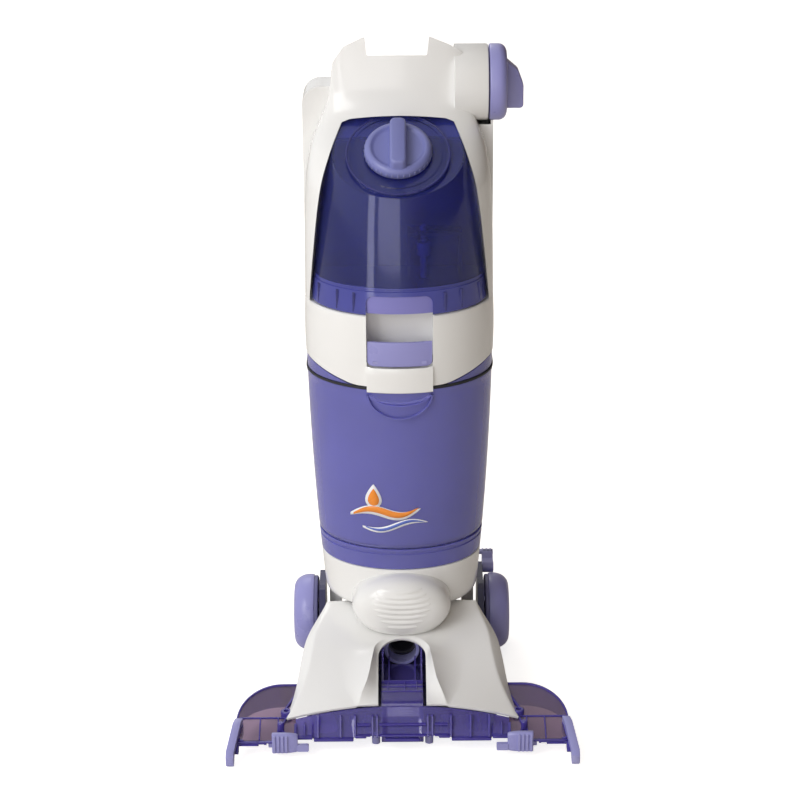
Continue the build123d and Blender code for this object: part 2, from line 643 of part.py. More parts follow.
# Lower edge of the collar in front view, (distance from the middle, height), rising to the sides.
SMILE = ((0.0, 335.0), (52.0, 336.4), (73.0, 340.0), (92.0, 350.0), (110.0, 352.0))


def below_smile(gap):
    """Front-view outline of everything that lies a gap below the collar's lower edge."""
    right = [(x, z - gap) for x, z in SMILE]
    left = [(-x, z) for x, z in reversed(right[1:])]
    return [(-110, 300)] + left + right + [(110, 300)]


def make_mid_housing():
    heights = (330.0, 356.0, 382.0, WAIST_Z)
    back = SPINE_Y0 - 0.1
    outer = stack(body_levels(heights, back))
    inner = stack([(z, h - 3, f + 3, s, b + 3) for z, h, f, s, b in
                   body_levels((329.0, 356.0, 382.0, WAIST_Z - 3), back)])
    pocket = stack(body_levels((RECESS_Z0 - 3, 382.0, WAIST_Z), back))
    with BuildPart() as pocket_walls:
        add(pocket)
        add(box(-RECESS_HALF - 3, RECESS_HALF + 3, -40, RECESS_BACK + 3, 340, 420), mode=Mode.INTERSECT)
    # proud tab under the recess
    with BuildPart() as tab_block:
        add(stack(body_levels((332.0, 345.0, 358.0), back, -3.0)))
        add(box(-RECESS_HALF, RECESS_HALF, -40, -8.0, 332, 358), mode=Mode.INTERSECT)
    with BuildPart() as mid_housing:
        add(outer)
        add(inner, mode=Mode.SUBTRACT)
        add(pocket_walls.part)
        add(front_prism(below_smile(0.0), -60, 120), mode=Mode.SUBTRACT)
        add(tab_block.part)
        add(box(-RECESS_HALF, RECESS_HALF, -40, RECESS_BACK, RECESS_Z0, 420), mode=Mode.SUBTRACT)
        # tongue slot of the latch button, and the outlet of the clean tank
        add(box(-9, 9, 2.9, 7.1, RECESS_Z0 - 5, RECESS_Z0 + 1), mode=Mode.SUBTRACT)
        add(rod(VALVE_X, VALVE_Y, WAIST_Z - 4, WAIST_Z + 1, 5), mode=Mode.SUBTRACT)
    save(mid_housing.part, "mid_housing")

    with BuildPart() as tank_latch_button:
        add(box(-RECESS_HALF + 0.6, RECESS_HALF - 0.6, -11.5, RECESS_BACK - 0.6, BUTTON_Z0, BUTTON_Z1))
        fillet(tank_latch_button.edges().filter_by(Axis.X).sort_by(Axis.Y)[:2], 2.5)
        # pockets for the springs, and the tongue that reaches down to the tank
        for side in (-1, 1):
            x = side * SPRING_X
            add(box(x - 5, x + 5, SPRING_Y - 5, SPRING_Y + 5, BUTTON_Z0 - 1, BUTTON_Z0 + 9),
                mode=Mode.SUBTRACT)
        add(box(-8.9, 8.9, 3, 7, 341, BUTTON_Z0 + 2))
    save(tank_latch_button.part, "tank_latch_button")
    with BuildPart() as latch_springs:
        for side in (-1, 1):
            add(coil(side * SPRING_X, SPRING_Y, RECESS_Z0, BUTTON_Z0 + 9 - RECESS_Z0, 3.6, 0.5, 2.6))
    save(latch_springs.part, "latch_springs")


# ---- recovery tank ---------------------------------------------------------------------------
FLOAT_X, FLOAT_Y = 59.0, 47.0
INLET_X = -62.0


def make_recovery_tank():
    levels = (TANK_Z0, 200.0, 240.0, 280.0, TANK_Z1)
    outer = stack(body_levels(levels, TANK_BACK))
    inner = stack([(z, h - WALL, f + WALL, s, b - WALL) for z, h, f, s, b in
                   body_levels((TANK_Z0 + 3, 200.0, 240.0, 280.0, TANK_Z1 + 0.01), TANK_BACK)])
    # finger lip under the collar's tab
    lip = ((-31, 306), (31, 306), (31, 309), (-31, 309))
    with BuildPart() as lip_block:
        add(stack(body_levels((306.0, 309.0), TANK_BACK, -4.0)))
        add(front_prism(lip, -30, 12), mode=Mode.INTERSECT)
        add(stack(body_levels((305.0, 310.0), TANK_BACK, 1.0)), mode=Mode.SUBTRACT)
    with BuildPart() as recovery_tank:
        add(outer)
        add(inner, mode=Mode.SUBTRACT)
        with BuildSketch(Plane((0, TANK_BACK - 5, PORT_Z), x_dir=(1, 0, 0), z_dir=(0, 1, 0))):
            with Locations((-PORT_X, 0), (PORT_X, 0)):
                Circle(DUCT_BORE)
        extrude(amount=8, mode=Mode.SUBTRACT)
        # hood that turns the incoming water down
        add(box(-PORT_X - 16, -PORT_X + 16, TANK_BACK - 26, TANK_BACK - WALL + 0.5, 280, 316))
        add(box(-PORT_X - 14, -PORT_X + 14, TANK_BACK - 24, TANK_BACK + 1, 279, 314), mode=Mode.SUBTRACT)
        add(lip_block.part)
    save(recovery_tank.part, "recovery_tank")

    foot_outer = stack(body_levels((FOOT_Z0, TANK_Z0), TANK_BACK))
    foot_inner = stack([(z, h - WALL, f + WALL, s, b - WALL) for z, h, f, s, b in
                        body_levels((FOOT_Z0 - 0.1, TANK_Z0 + 0.1), TANK_BACK)])
    with BuildPart() as tank_foot:
        add(foot_outer)
        add(foot_inner, mode=Mode.SUBTRACT)
    save(tank_foot.part, "tank_foot")

    seal_outer = stack(body_levels((TANK_Z1, LID_Z0), TANK_BACK, 0.8))
    seal_inner = stack(body_levels((TANK_Z1 - 0.1, LID_Z0 + 0.1), TANK_BACK, 4.2))
    with BuildPart() as tank_seal:
        add(seal_outer)
        add(seal_inner, mode=Mode.SUBTRACT)
    save(tank_seal.part, "tank_seal")

    lid_outer = stack(body_levels((LID_Z0, 353.0), TANK_BACK))
    lid_void = stack(body_levels((LID_Z1, 354.0), TANK_BACK, WALL))
    plug_outer = stack(body_levels((LID_Z0 - 12, LID_Z0), TANK_BACK, 4.6))
    plug_inner = stack(body_levels((LID_Z0 - 13, LID_Z0 + 0.1), TANK_BACK, 7.1))
    with BuildPart() as plug:
        add(plug_outer)
        add(plug_inner, mode=Mode.SUBTRACT)
        add(box(-60, 60, TANK_BACK - 12, TANK_BACK, LID_Z0 - 14, LID_Z0 - 0.1), mode=Mode.SUBTRACT)
    with BuildPart() as tank_lid:
        add(lid_outer)
        add(front_prism(below_smile(1.4), -60, 120), mode=Mode.INTERSECT)
        add(lid_void, mode=Mode.SUBTRACT)
        add(plug.part)
        # groove that lets the lid pass under the collar's tab
        add(box(-RECESS_HALF - 1.5, RECESS_HALF + 1.5, -40, 120, 331.4, 340), mode=Mode.SUBTRACT)
        add(rod(INLET_X, FLOAT_Y, 246, LID_Z0 + 1, 9, 6.5))
    save(tank_lid.part, "tank_lid")

    # float cage hanging from the lid, with the float that shuts the airway
    with BuildPart() as float_cage:
        add(rod(FLOAT_X, FLOAT_Y, 244, LID_Z0, 11, 9))
        for turn in range(4):
            angle = math.radians(45 + 90 * turn)
            x = FLOAT_X + 10 * math.cos(angle)
            y = FLOAT_Y + 10 * math.sin(angle)
            add(box(x - 4, x + 4, y - 4, y + 4, 256, 306), mode=Mode.SUBTRACT)
        add(rod(FLOAT_X, FLOAT_Y, 242, 244.1, 11))
    save(float_cage.part, "float_cage")
    with BuildPart() as float_ball:
        with BuildSketch(Plane.XY.offset(252)):
            with Locations((FLOAT_X, FLOAT_Y)):
                Circle(8)
        extrude(amount=24)
        fillet(float_ball.edges(), 4)
    save(float_ball.part, "shutoff_float")


# ---- clean tank ------------------------------------------------------------------------------
VALVE_X, VALVE_Y = 23.5, 35.0
TILT = Plane((0, RING_Y, RING_Z), x_dir=(1, 0, 0),
             z_dir=(0, -math.sin(math.radians(SLOPE)), math.cos(math.radians(SLOPE))))


def opening_half(z):
    """Half width of the top housing's opening at a height."""
    for (z0, h0), (z1, h1) in zip(OPENING, OPENING[1:]):
        if z <= z1:
            return h0 + (h1 - h0) * (z - z0) / (z1 - z0)
    return OPENING[-1][1]


def clean_front(z):
    share = (z - WAIST_Z) / (522.0 - WAIST_Z)
    return CLEAN_FRONT_LOW + (CLEAN_FRONT_HIGH - CLEAN_FRONT_LOW) * share


def clean_levels(heights, inset):
    return [(z, opening_half(z) - CLEAN_GAP - inset, clean_front(z) + inset, CLEAN_SIDE, CLEAN_BACK - inset)
            for z in heights]


def above_tilt(raise_by):
    """Everything above the tank's tilted top, as a block."""
    with BuildPart() as block:
        with BuildSketch(TILT.offset(raise_by)):
            Rectangle(260, 260)
        extrude(amount=140)
    return block.part


def make_clean_tank():
    heights = (CLEAN_BAND, 460.0, 492.0, 524.0, 553.0, CLEAN_Z1)
    with BuildPart() as core:
        add(stack(clean_levels((CLEAN_BAND - 0.1,) + heights[1:], WALL)))
        add(above_tilt(-WALL), mode=Mode.SUBTRACT)
    with BuildPart() as clean_tank:
        add(stack(clean_levels(heights, 0.0)))
        add(above_tilt(0.0), mode=Mode.SUBTRACT)
        add(core.part, mode=Mode.SUBTRACT)
        with BuildSketch(TILT.offset(-0.5)):
            Circle(RING_R)
        extrude(amount=4.7)
        with BuildSketch(TILT.offset(3.0)):
            Circle(NECK_R + 3)
        extrude(amount=8.0)
        with BuildSketch(TILT.offset(-6.0)):
            Circle(NECK_R)
        extrude(amount=20, mode=Mode.SUBTRACT)
    save(clean_tank.part, "clean_tank")

    band_inner = stack(clean_levels((CLEAN_Z0 + 3, CLEAN_BAND + 0.1), 3.0))
    with BuildPart() as clean_tank_base:
        add(stack(clean_levels((CLEAN_Z0 + 0.2, CLEAN_BAND - 0.1), 0.0)))
        add(band_inner, mode=Mode.SUBTRACT)
        add(rod(VALVE_X, VALVE_Y, CLEAN_Z0 + 0.2, 432, 7))
        add(rod(VALVE_X, VALVE_Y, CLEAN_Z0 - 1, 434, 3.0 + RUN), mode=Mode.SUBTRACT)
        # notch above the finger recess
        add(box(-30, 30, -30, -12.0, CLEAN_Z0, 424), mode=Mode.SUBTRACT)
    save(clean_tank_base.part, "clean_tank_base")

    # valve cage and plunger that lets water out when the tank is in place
    with BuildPart() as valve_cage:
        add(box(8, 60, 24, 48, 436.4, 480))
        add(box(11, 57, 20, 50, 436, 477), mode=Mode.SUBTRACT)
        add(rod(VALVE_X, VALVE_Y, 476, 481, 3.0 + RUN), mode=Mode.SUBTRACT)
    save(valve_cage.part, "valve_cage")
    with BuildPart() as valve_plunger:
        add(rod(VALVE_X, VALVE_Y, CLEAN_Z0 + 0.4, 485, 3.0))
        add(rod(VALVE_X, VALVE_Y, 455, 468, 6.5))
    save(valve_plunger.part, "valve_plunger")
    # between the plunger's head and the roof of the cage
    with BuildPart() as valve_spring:
        add(coil(VALVE_X, VALVE_Y, 468.05, 8.9, 4.2, 0.5, 2.4))
    save(valve_spring.part, "valve_spring")

    # screw cap with a bar grip along the slope
    with BuildPart() as tank_cap:
        with BuildSketch(TILT.offset(4.5)):
            Circle(CAP_R)
        extrude(amount=11.5)
        fillet(tank_cap.faces().sort_by(Axis(TILT.origin, TILT.z_dir))[-1].edges(), 4.0)
        with BuildSketch(TILT.offset(4.4)):
            Circle(NECK_R + 3.3)
        extrude(amount=7.6, mode=Mode.SUBTRACT)
        with BuildSketch(TILT.offset(15.9)):
            SlotOverall(58, 16, rotation=90)
        extrude(amount=10)
        fillet(tank_cap.faces().sort_by(Axis(TILT.origin, TILT.z_dir))[-1].edges(), 3.0)
    save(tank_cap.part, "tank_cap")


# ---- top housing, rear shell -----------------------------------------------------------------
KNOB_Y, KNOB_Z, KNOB_R = 113.0, 606.0, 37.0
BOSS_X1 = 88.0
FAN_Y, FAN_R, FAN_Z0, FAN_Z1 = 110.0, 42.0, 425.0, 460.0
CAN_R, CAN_Z1 = 33.0, 545.0
SOCKET_Y, SOCKET_BORE, SOCKET_Z0, SOCKET_Z1 = 112.0, 16.0, 556.0, 636.0
NECK_TOP = 656.0


def make_top_housing():
    back = SPINE_Y1 - 0.2
    shape = ((WAIST_Z + 1, 92.3, -17.5, 60, back), (470, 91.5, -10.5, 60, back), (522, 89.5, -4, 62, back),
             (550, 86, 22, 72, back), (583, 78, 75, 92, back), (604, 68, 86, 94, back))
    outer = stack(shape)
    inner = stack([(z - 3 if z > 500 else z - 0.1 if z < 420 else z, h - 3, f + 3.4, s, b + 1)
                   for z, h, f, s, b in shape])
    edge = [(half, z) for z, half in OPENING]
    edge[0] = (OPENING[0][1], 400)
    arch = edge + [(46, OPENING_TOP), (-46, OPENING_TOP)] + [(-x, z) for x, z in reversed(edge)]
    neck = ((-64, 600), (-62, 636), (-60, 645), (-46, 655), (-31, NECK_TOP), (-28, 638),
            (28, 638), (31, NECK_TOP), (46, 655), (60, 645), (62, 636), (64, 600))
    neck_lean = ((60, 590), (84, 590), (97, 636), (102, 660), (60, 660))
    neck_void = ((-58, 590), (-57, 634), (57, 634), (58, 590))
    with BuildPart() as neck_block:
        add(front_prism(neck, 84, 140))
        add(side_plate(-80, 80, neck_lean), mode=Mode.SUBTRACT)
        # the part that would meet the rear shell stays above it
        add(box(-80, 80, back, 160, 580, REAR_TOP + 0.2), mode=Mode.SUBTRACT)
    bay_line = ((64, WAIST_Z + 1.5), (64, 562), (85, 577), (85, 592), (87.5, 592), (87.5, 575), (66.5, 560),
                (66.5, WAIST_Z + 1.5))
    with BuildPart() as bay_wall:
        add(outer)
        add(side_plate(-95, 95, bay_line), mode=Mode.INTERSECT)
    with BuildPart() as top_housing:
        add(outer)
        add(inner, mode=Mode.SUBTRACT)
        add(front_prism(arch, -60, 100), mode=Mode.SUBTRACT)
        add(bay_wall.part)
        add(neck_block.part)
        add(front_prism(neck_void, 99, 136), mode=Mode.SUBTRACT)
        add(cross_rod(55, BOSS_X1, KNOB_Y, KNOB_Z, KNOB_R))
        add(cross_rod(50, BOSS_X1 - 3, KNOB_Y, KNOB_Z, KNOB_R - 3), mode=Mode.SUBTRACT)
        add(cross_rod(60, BOSS_X1 + 1, KNOB_Y, KNOB_Z, 5 + RUN), mode=Mode.SUBTRACT)
        add(rod(0, SOCKET_Y, 560, 640, SOCKET_BORE + 4.1), mode=Mode.SUBTRACT)
    save(top_housing.part, "top_housing")

    with BuildPart() as handle_socket:
        add(rod(0, SOCKET_Y, SOCKET_Z0 - 4, SOCKET_Z1, SOCKET_BORE + 4))
        add(rod(0, SOCKET_Y, SOCKET_Z0, SOCKET_Z1 + 1, SOCKET_BORE), mode=Mode.SUBTRACT)
    save(handle_socket.part, "handle_socket")


def make_knob():
    grip = ((103, 581), (113, 581), (122.5, 581), (122.5, 604), (116, 622), (103, 630))
    with BuildPart() as mode_knob:
        add(cross_rod(BOSS_X1 + 0.8, 106, KNOB_Y, KNOB_Z, KNOB_R))
        fillet(mode_knob.faces().sort_by(Axis.X)[-1].edges(), 7.0)
        with BuildSketch(Plane((0, KNOB_Y - 8, 0), x_dir=(1, 0, 0), z_dir=(0, -1, 0))):
            with BuildLine():
                Polyline(*grip, close=True)
            make_face()
        extrude(amount=-16)
        add(cross_rod(70, BOSS_X1 + 1, KNOB_Y, KNOB_Z, 5))
    save(mode_knob.part, "mode_knob")


def rear_plan(half, rear, corner):
    """Plan outline of the rear shell, rounded at its two rear corners."""
    with BuildSketch() as outline:
        with BuildLine():
            Line((-half, SPINE_Y1 + 0.2), (half, SPINE_Y1 + 0.2))
            Line((half, SPINE_Y1 + 0.2), (half, rear - corner))
            RadiusArc((half, rear - corner), (half - corner, rear), -corner)
            Line((half - corner, rear), (-half + corner, rear))
            RadiusArc((-half + corner, rear), (-half, rear - corner), -corner)
            Line((-half, rear - corner), (-half, SPINE_Y1 + 0.2))
        make_face()
    return outline.sketch


GRILLE_HALF, GRILLE_Z0, GRILLE_Z1 = 36.0, 470.0, 530.0
GLAND_X, GLAND_Z = -62.0, 440.0
SCREWS = [(x, z) for x in (-78.0, 78.0) for z in (430.0, 500.0)] + [(-78.0, 570.0), (30.0, 590.0)]


def make_rear_shell():
    heights = ((HOUSING_Z1 + 0.2, REAR_LOW), (220.0, REAR_LOW), (300.0, 140.0), (360.0, 144.0),
               (WAIST_Z, REAR_HIGH))
    with BuildPart() as lower:
        for z, rear in heights:
            with BuildSketch(Plane.XY.offset(z)):
                add(rear_plan(half_width(z), rear, 14.0))
        loft(ruled=True)
    with BuildPart() as lower_core:
        for z, rear in heights:
            with BuildSketch(Plane.XY.offset(z - 0.2 if z < 140 else z)):
                add(rear_plan(half_width(z) - WALL, rear - WALL, 12.0))
        loft(ruled=True)
    with BuildPart() as upper_core:
        with BuildSketch(Plane.XY.offset(WAIST_Z - 0.1)):
            add(rear_plan(93.0 - WALL, REAR_HIGH - WALL, 12.0))
        extrude(amount=REAR_TOP - WAIST_Z - WALL)
        fillet(upper_core.faces().sort_by(Axis.Z)[-1].edges().filter_by(Axis.Y), 15.5)
    with BuildPart() as rear_shell:
        with BuildSketch(Plane.XY.offset(WAIST_Z)):
            add(rear_plan(93.0, REAR_HIGH, 14.0))
        extrude(amount=REAR_TOP - WAIST_Z)
        fillet(rear_shell.faces().sort_by(Axis.Z)[-1].edges().filter_by(Axis.Y), 18.0)
        add(upper_core.part, mode=Mode.SUBTRACT)
        add(lower.part)
        add(lower_core.part, mode=Mode.SUBTRACT)
        # saddle round the knob boss, and the way through for the handle socket
        add(cross_rod(54, 95, KNOB_Y, KNOB_Z, KNOB_R + 0.5), mode=Mode.SUBTRACT)
        add(rod(0, SOCKET_Y, 590, 620, SOCKET_BORE + 4.2), mode=Mode.SUBTRACT)
        # exhaust window, gland hole and screw recesses in the back
        add(box(-GRILLE_HALF, GRILLE_HALF, 145, 160, GRILLE_Z0, GRILLE_Z1), mode=Mode.SUBTRACT)
        with BuildSketch(Plane((0, 145, 0), x_dir=(1, 0, 0), z_dir=(0, -1, 0))):
            with Locations((GLAND_X, GLAND_Z)):
                Circle(7.0)
        extrude(amount=-15, mode=Mode.SUBTRACT)
        with BuildSketch(Plane((0, REAR_HIGH - 1.5, 0), x_dir=(1, 0, 0), z_dir=(0, -1, 0))):
            with Locations(*SCREWS):
                Circle(4.2)
        extrude(amount=-5, mode=Mode.SUBTRACT)
    save(rear_shell.part, "rear_shell")

    with BuildPart() as exhaust_grille:
        add(box(-GRILLE_HALF + 0.2, GRILLE_HALF - 0.2, REAR_HIGH - 3, REAR_HIGH - 0.4,
                GRILLE_Z0 + 0.2, GRILLE_Z1 - 0.2))
        for row in range(8):
            z = GRILLE_Z0 + 8 + row * 6.4
            add(box(-GRILLE_HALF + 5, GRILLE_HALF - 5, 145, 160, z - 1.6, z + 1.6), mode=Mode.SUBTRACT)
    save(exhaust_grille.part, "exhaust_grille")
    with BuildPart() as cord_gland:
        with BuildSketch(Plane((0, REAR_HIGH, 0), x_dir=(1, 0, 0), z_dir=(0, -1, 0))):
            with Locations((GLAND_X, GLAND_Z)):
                Circle(6.9)
        extrude(amount=12)
        with BuildSketch(Plane((0, REAR_HIGH - WALL - 0.1, 0), x_dir=(1, 0, 0), z_dir=(0, -1, 0))):
            with Locations((GLAND_X, GLAND_Z)):
                Circle(10.0)
        extrude(amount=3)
        with BuildSketch(Plane((0, REAR_HIGH + 1, 0), x_dir=(1, 0, 0), z_dir=(0, -1, 0))):
            with Locations((GLAND_X, GLAND_Z)):
                Circle(3.6)
        extrude(amount=20, mode=Mode.SUBTRACT)
    save(cord_gland.part, "cord_gland")
    with BuildPart() as rear_screws:
        with BuildSketch(Plane((0, REAR_HIGH - 0.4, 0), x_dir=(1, 0, 0), z_dir=(0, -1, 0))):
            with Locations(*SCREWS):
                Circle(3.8)
        extrude(amount=1.0)
    save(rear_screws.part, "rear_screws")


# ---- suction motor ---------------------------------------------------------------------------
def make_suction_motor():
    with BuildPart() as fan_housing:
        add(rod(0, FAN_Y, FAN_Z0, FAN_Z1, FAN_R))
        add(rod(0, FAN_Y, FAN_Z0 + 3, FAN_Z1 - 3, FAN_R - 3), mode=Mode.SUBTRACT)
        add(rod(0, FAN_Y, FAN_Z0 - 1, FAN_Z0 + 4, DUCT_BORE), mode=Mode.SUBTRACT)
        add(rod(0, FAN_Y, FAN_Z1 - 4, FAN_Z1 + 1, 4 + RUN), mode=Mode.SUBTRACT)
        add(box(-12, 12, FAN_Y + 30, FAN_Y + 50, FAN_Z0 + 8, FAN_Z1 - 8), mode=Mode.SUBTRACT)
    save(fan_housing.part, "fan_housing")
    with BuildPart() as suction_motor:
        add(rod(0, FAN_Y, FAN_Z1 + 0.1, CAN_Z1, CAN_R))
        fillet(suction_motor.faces().sort_by(Axis.Z)[-1].edges(), 5.0)
        add(rod(0, FAN_Y, FAN_Z1 - 1, CAN_Z1 - 8, 4 + RUN), mode=Mode.SUBTRACT)
    save(suction_motor.part, "suction_motor")
    with BuildPart() as impeller:
        add(rod(0, FAN_Y, 431, 433, 34))
        add(rod(0, FAN_Y, 431, 452, 8))
        for turn in range(8):
            angle = turn * 45.0
            with BuildSketch(Plane((0, FAN_Y, 433)).rotated((0, 0, angle))):
                with Locations((20, 0)):
                    Rectangle(26, 1.6)
            extrude(amount=14)
        add(rod(0, FAN_Y, 431, CAN_Z1 - 10, 4))
    save(impeller.part, "impeller")
    with BuildPart() as solution_tube:
        route = ((VALVE_X, VALVE_Y, WAIST_Z - 3.2), (VALVE_X, VALVE_Y, 385), (70, 60, 372), (70, 90, 372))
        add(pipe(route, (8, 14), 4.0, 2.5))
    save(solution_tube.part, "solution_tube")


make_base_frame()
make_base_cover()
make_clear_nozzle()
make_suction_channel()
make_bumpers()
make_latches()
make_glides()
make_brushes()
make_brush_block()
make_brush_drive()
make_squeegee()
make_wheels()
make_pedal()
make_ducts()
make_lower_housing()
make_spine()
make_mid_housing()
make_recovery_tank()
make_clean_tank()
make_top_housing()
make_knob()
make_rear_shell()
make_suction_motor()
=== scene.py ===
import bpy
import bmesh
import json
import math
from mathutils import Matrix, Vector


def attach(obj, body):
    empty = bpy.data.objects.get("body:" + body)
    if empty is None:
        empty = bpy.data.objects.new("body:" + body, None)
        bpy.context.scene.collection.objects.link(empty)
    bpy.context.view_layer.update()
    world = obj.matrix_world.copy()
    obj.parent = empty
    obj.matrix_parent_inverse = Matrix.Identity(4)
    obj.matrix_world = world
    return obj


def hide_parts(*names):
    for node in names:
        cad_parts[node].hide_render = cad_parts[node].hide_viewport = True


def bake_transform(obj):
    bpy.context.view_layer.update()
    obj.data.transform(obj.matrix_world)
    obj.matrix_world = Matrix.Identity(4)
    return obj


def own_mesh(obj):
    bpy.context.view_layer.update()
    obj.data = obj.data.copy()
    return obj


# Upright floor washer without its handle.  Shapes are worked out in millimetres, in the CAD's own
# frame (X across, -Y to the front, +Z up), and turned into metres when a mesh is made.

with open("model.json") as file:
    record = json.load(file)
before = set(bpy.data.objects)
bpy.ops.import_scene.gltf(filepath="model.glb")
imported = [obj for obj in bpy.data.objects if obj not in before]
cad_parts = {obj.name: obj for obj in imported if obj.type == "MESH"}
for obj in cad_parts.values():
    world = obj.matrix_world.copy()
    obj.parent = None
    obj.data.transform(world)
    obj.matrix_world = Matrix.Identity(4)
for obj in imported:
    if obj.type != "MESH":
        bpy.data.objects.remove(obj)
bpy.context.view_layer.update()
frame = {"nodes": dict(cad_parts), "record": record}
NODES = frame["nodes"]
MM = 0.001


# ---- camera, light, floor --------------------------------------------------------------------
VIEW_PITCH = math.radians(21.0)
VIEW_ROLL = math.radians(-0.45)
VIEW_DISTANCE = 2.3
LENS_MM, SENSOR_MM = 102.8, 36.0
VIEW_TARGET = Vector((0.0, 0.073, 0.290))

scene = bpy.context.scene
scene.view_settings.view_transform = "Standard"


def make_camera():
    data = bpy.data.cameras.new("camera")
    data.lens = LENS_MM
    data.sensor_width = SENSOR_MM
    camera = bpy.data.objects.new("camera", data)
    scene.collection.objects.link(camera)
    back = Vector((0.0, -math.cos(VIEW_PITCH), math.sin(VIEW_PITCH)))
    tilt = Matrix.Rotation(math.pi / 2 - VIEW_PITCH, 4, "X") @ Matrix.Rotation(VIEW_ROLL, 4, "Z")
    camera.matrix_world = Matrix.Translation(VIEW_TARGET + back * VIEW_DISTANCE) @ tilt
    scene.camera = camera


def add_node(tree, kind, **values):
    """New shader node with its inputs set; an underscore in a keyword stands for a space in the input's name."""
    made = tree.nodes.new("ShaderNode" + kind)
    for key, value in values.items():
        made.inputs[key.replace("_", " ")].default_value = value
    return made


def make_world():
    """Bright on the left, warm and dim on the right, plain white behind the object."""
    world = bpy.data.worlds.new("studio")
    scene.world = world
    world.use_nodes = True
    tree = world.node_tree
    tree.nodes.clear()
    coords, axes, path = (add_node(tree, kind) for kind in ("TexCoord", "SeparateXYZ", "LightPath"))
    spread = add_node(tree, "MapRange", From_Min=-1.0)
    ramp = add_node(tree, "ValToRGB")
    stops = ramp.color_ramp.elements
    stops[0].color = (1.0, 1.0, 1.0, 1)
    stops[1].color = (0.07, 0.055, 0.04, 1)
    for place, colour in ((0.50, (0.92, 0.92, 0.93, 1)), (0.64, (0.34, 0.26, 0.18, 1)),
                          (0.78, (0.10, 0.07, 0.042, 1))):
        stops.new(place).color = colour
    lit = add_node(tree, "Background", Strength=0.8)
    plain = add_node(tree, "Background", Color=(1.0, 1.0, 1.0, 1))
    mix = add_node(tree, "MixShader")
    out = add_node(tree, "OutputWorld")
    for source, target in ((coords.outputs["Generated"], axes.inputs[0]),
                           (axes.outputs["X"], spread.inputs["Value"]),
                           (spread.outputs["Result"], ramp.inputs["Fac"]),
                           (ramp.outputs["Color"], lit.inputs["Color"]),
                           (path.outputs["Is Camera Ray"], mix.inputs[0]),
                           (lit.outputs[0], mix.inputs[1]),
                           (plain.outputs[0], mix.inputs[2]),
                           (mix.outputs[0], out.inputs["Surface"])):
        tree.links.new(source, target)


def make_lamp(name, place, target, size, power, colour):
    data = bpy.data.lights.new(name, "AREA")
    data.shape = "RECTANGLE"
    data.size, data.size_y = size
    data.energy = power
    data.color = colour
    lamp = bpy.data.objects.new(name, data)
    lamp.location = place
    lamp.rotation_euler = (Vector(target) - Vector(place)).to_track_quat("-Z", "Y").to_euler()
    scene.collection.objects.link(lamp)


def make_floor():
    mesh = bpy.data.meshes.new("floor")
    reach = 6.0
    mesh.from_pydata([(x * reach, y * reach, 0) for x, y in ((-1, -1), (1, -1), (1, 1), (-1, 1))], [], [(0, 1, 2, 3)])
    floor = bpy.data.objects.new("floor", mesh)
    scene.collection.objects.link(floor)
    paint = bpy.data.materials.new("floor_paint")
    paint.use_nodes = True
    shader = paint.node_tree.nodes["Principled BSDF"]
    shader.inputs["Base Color"].default_value = (0.74, 0.70, 0.65, 1)
    shader.inputs["Roughness"].default_value = 0.9
    shader.inputs["Emission Color"].default_value = (1, 1, 1, 1)
    # the camera sees a bright floor, and the object is lit by a dim one
    links = paint.node_tree.links
    path = add_node(paint.node_tree, "LightPath")
    shown = add_node(paint.node_tree, "MapRange", To_Min=0.04, To_Max=0.78)
    links.new(path.outputs["Is Camera Ray"], shown.inputs["Value"])
    links.new(shown.outputs["Result"], shader.inputs["Emission Strength"])
    mesh.materials.append(paint)


make_camera()
make_world()
make_lamp("key", (-1.6, -1.7, 1.9), (0.0, 0.0, 0.35), (1.2, 1.6), 26, (1.0, 1.0, 1.0))
make_lamp("fill", (-0.5, -2.7, 0.8), (0.0, 0.0, 0.25), (1.2, 1.0), 7, (1.0, 0.98, 0.95))
make_lamp("strip", (-1.15, -1.9, 0.55), (0.0, 0.0, 0.35), (0.3, 1.5), 4, (1.0, 1.0, 1.0))
make_lamp("rim", (-0.6, 1.9, 1.8), (0.0, 0.0, 0.4), (1.0, 1.0), 7, (1.0, 0.98, 0.95))
make_floor()


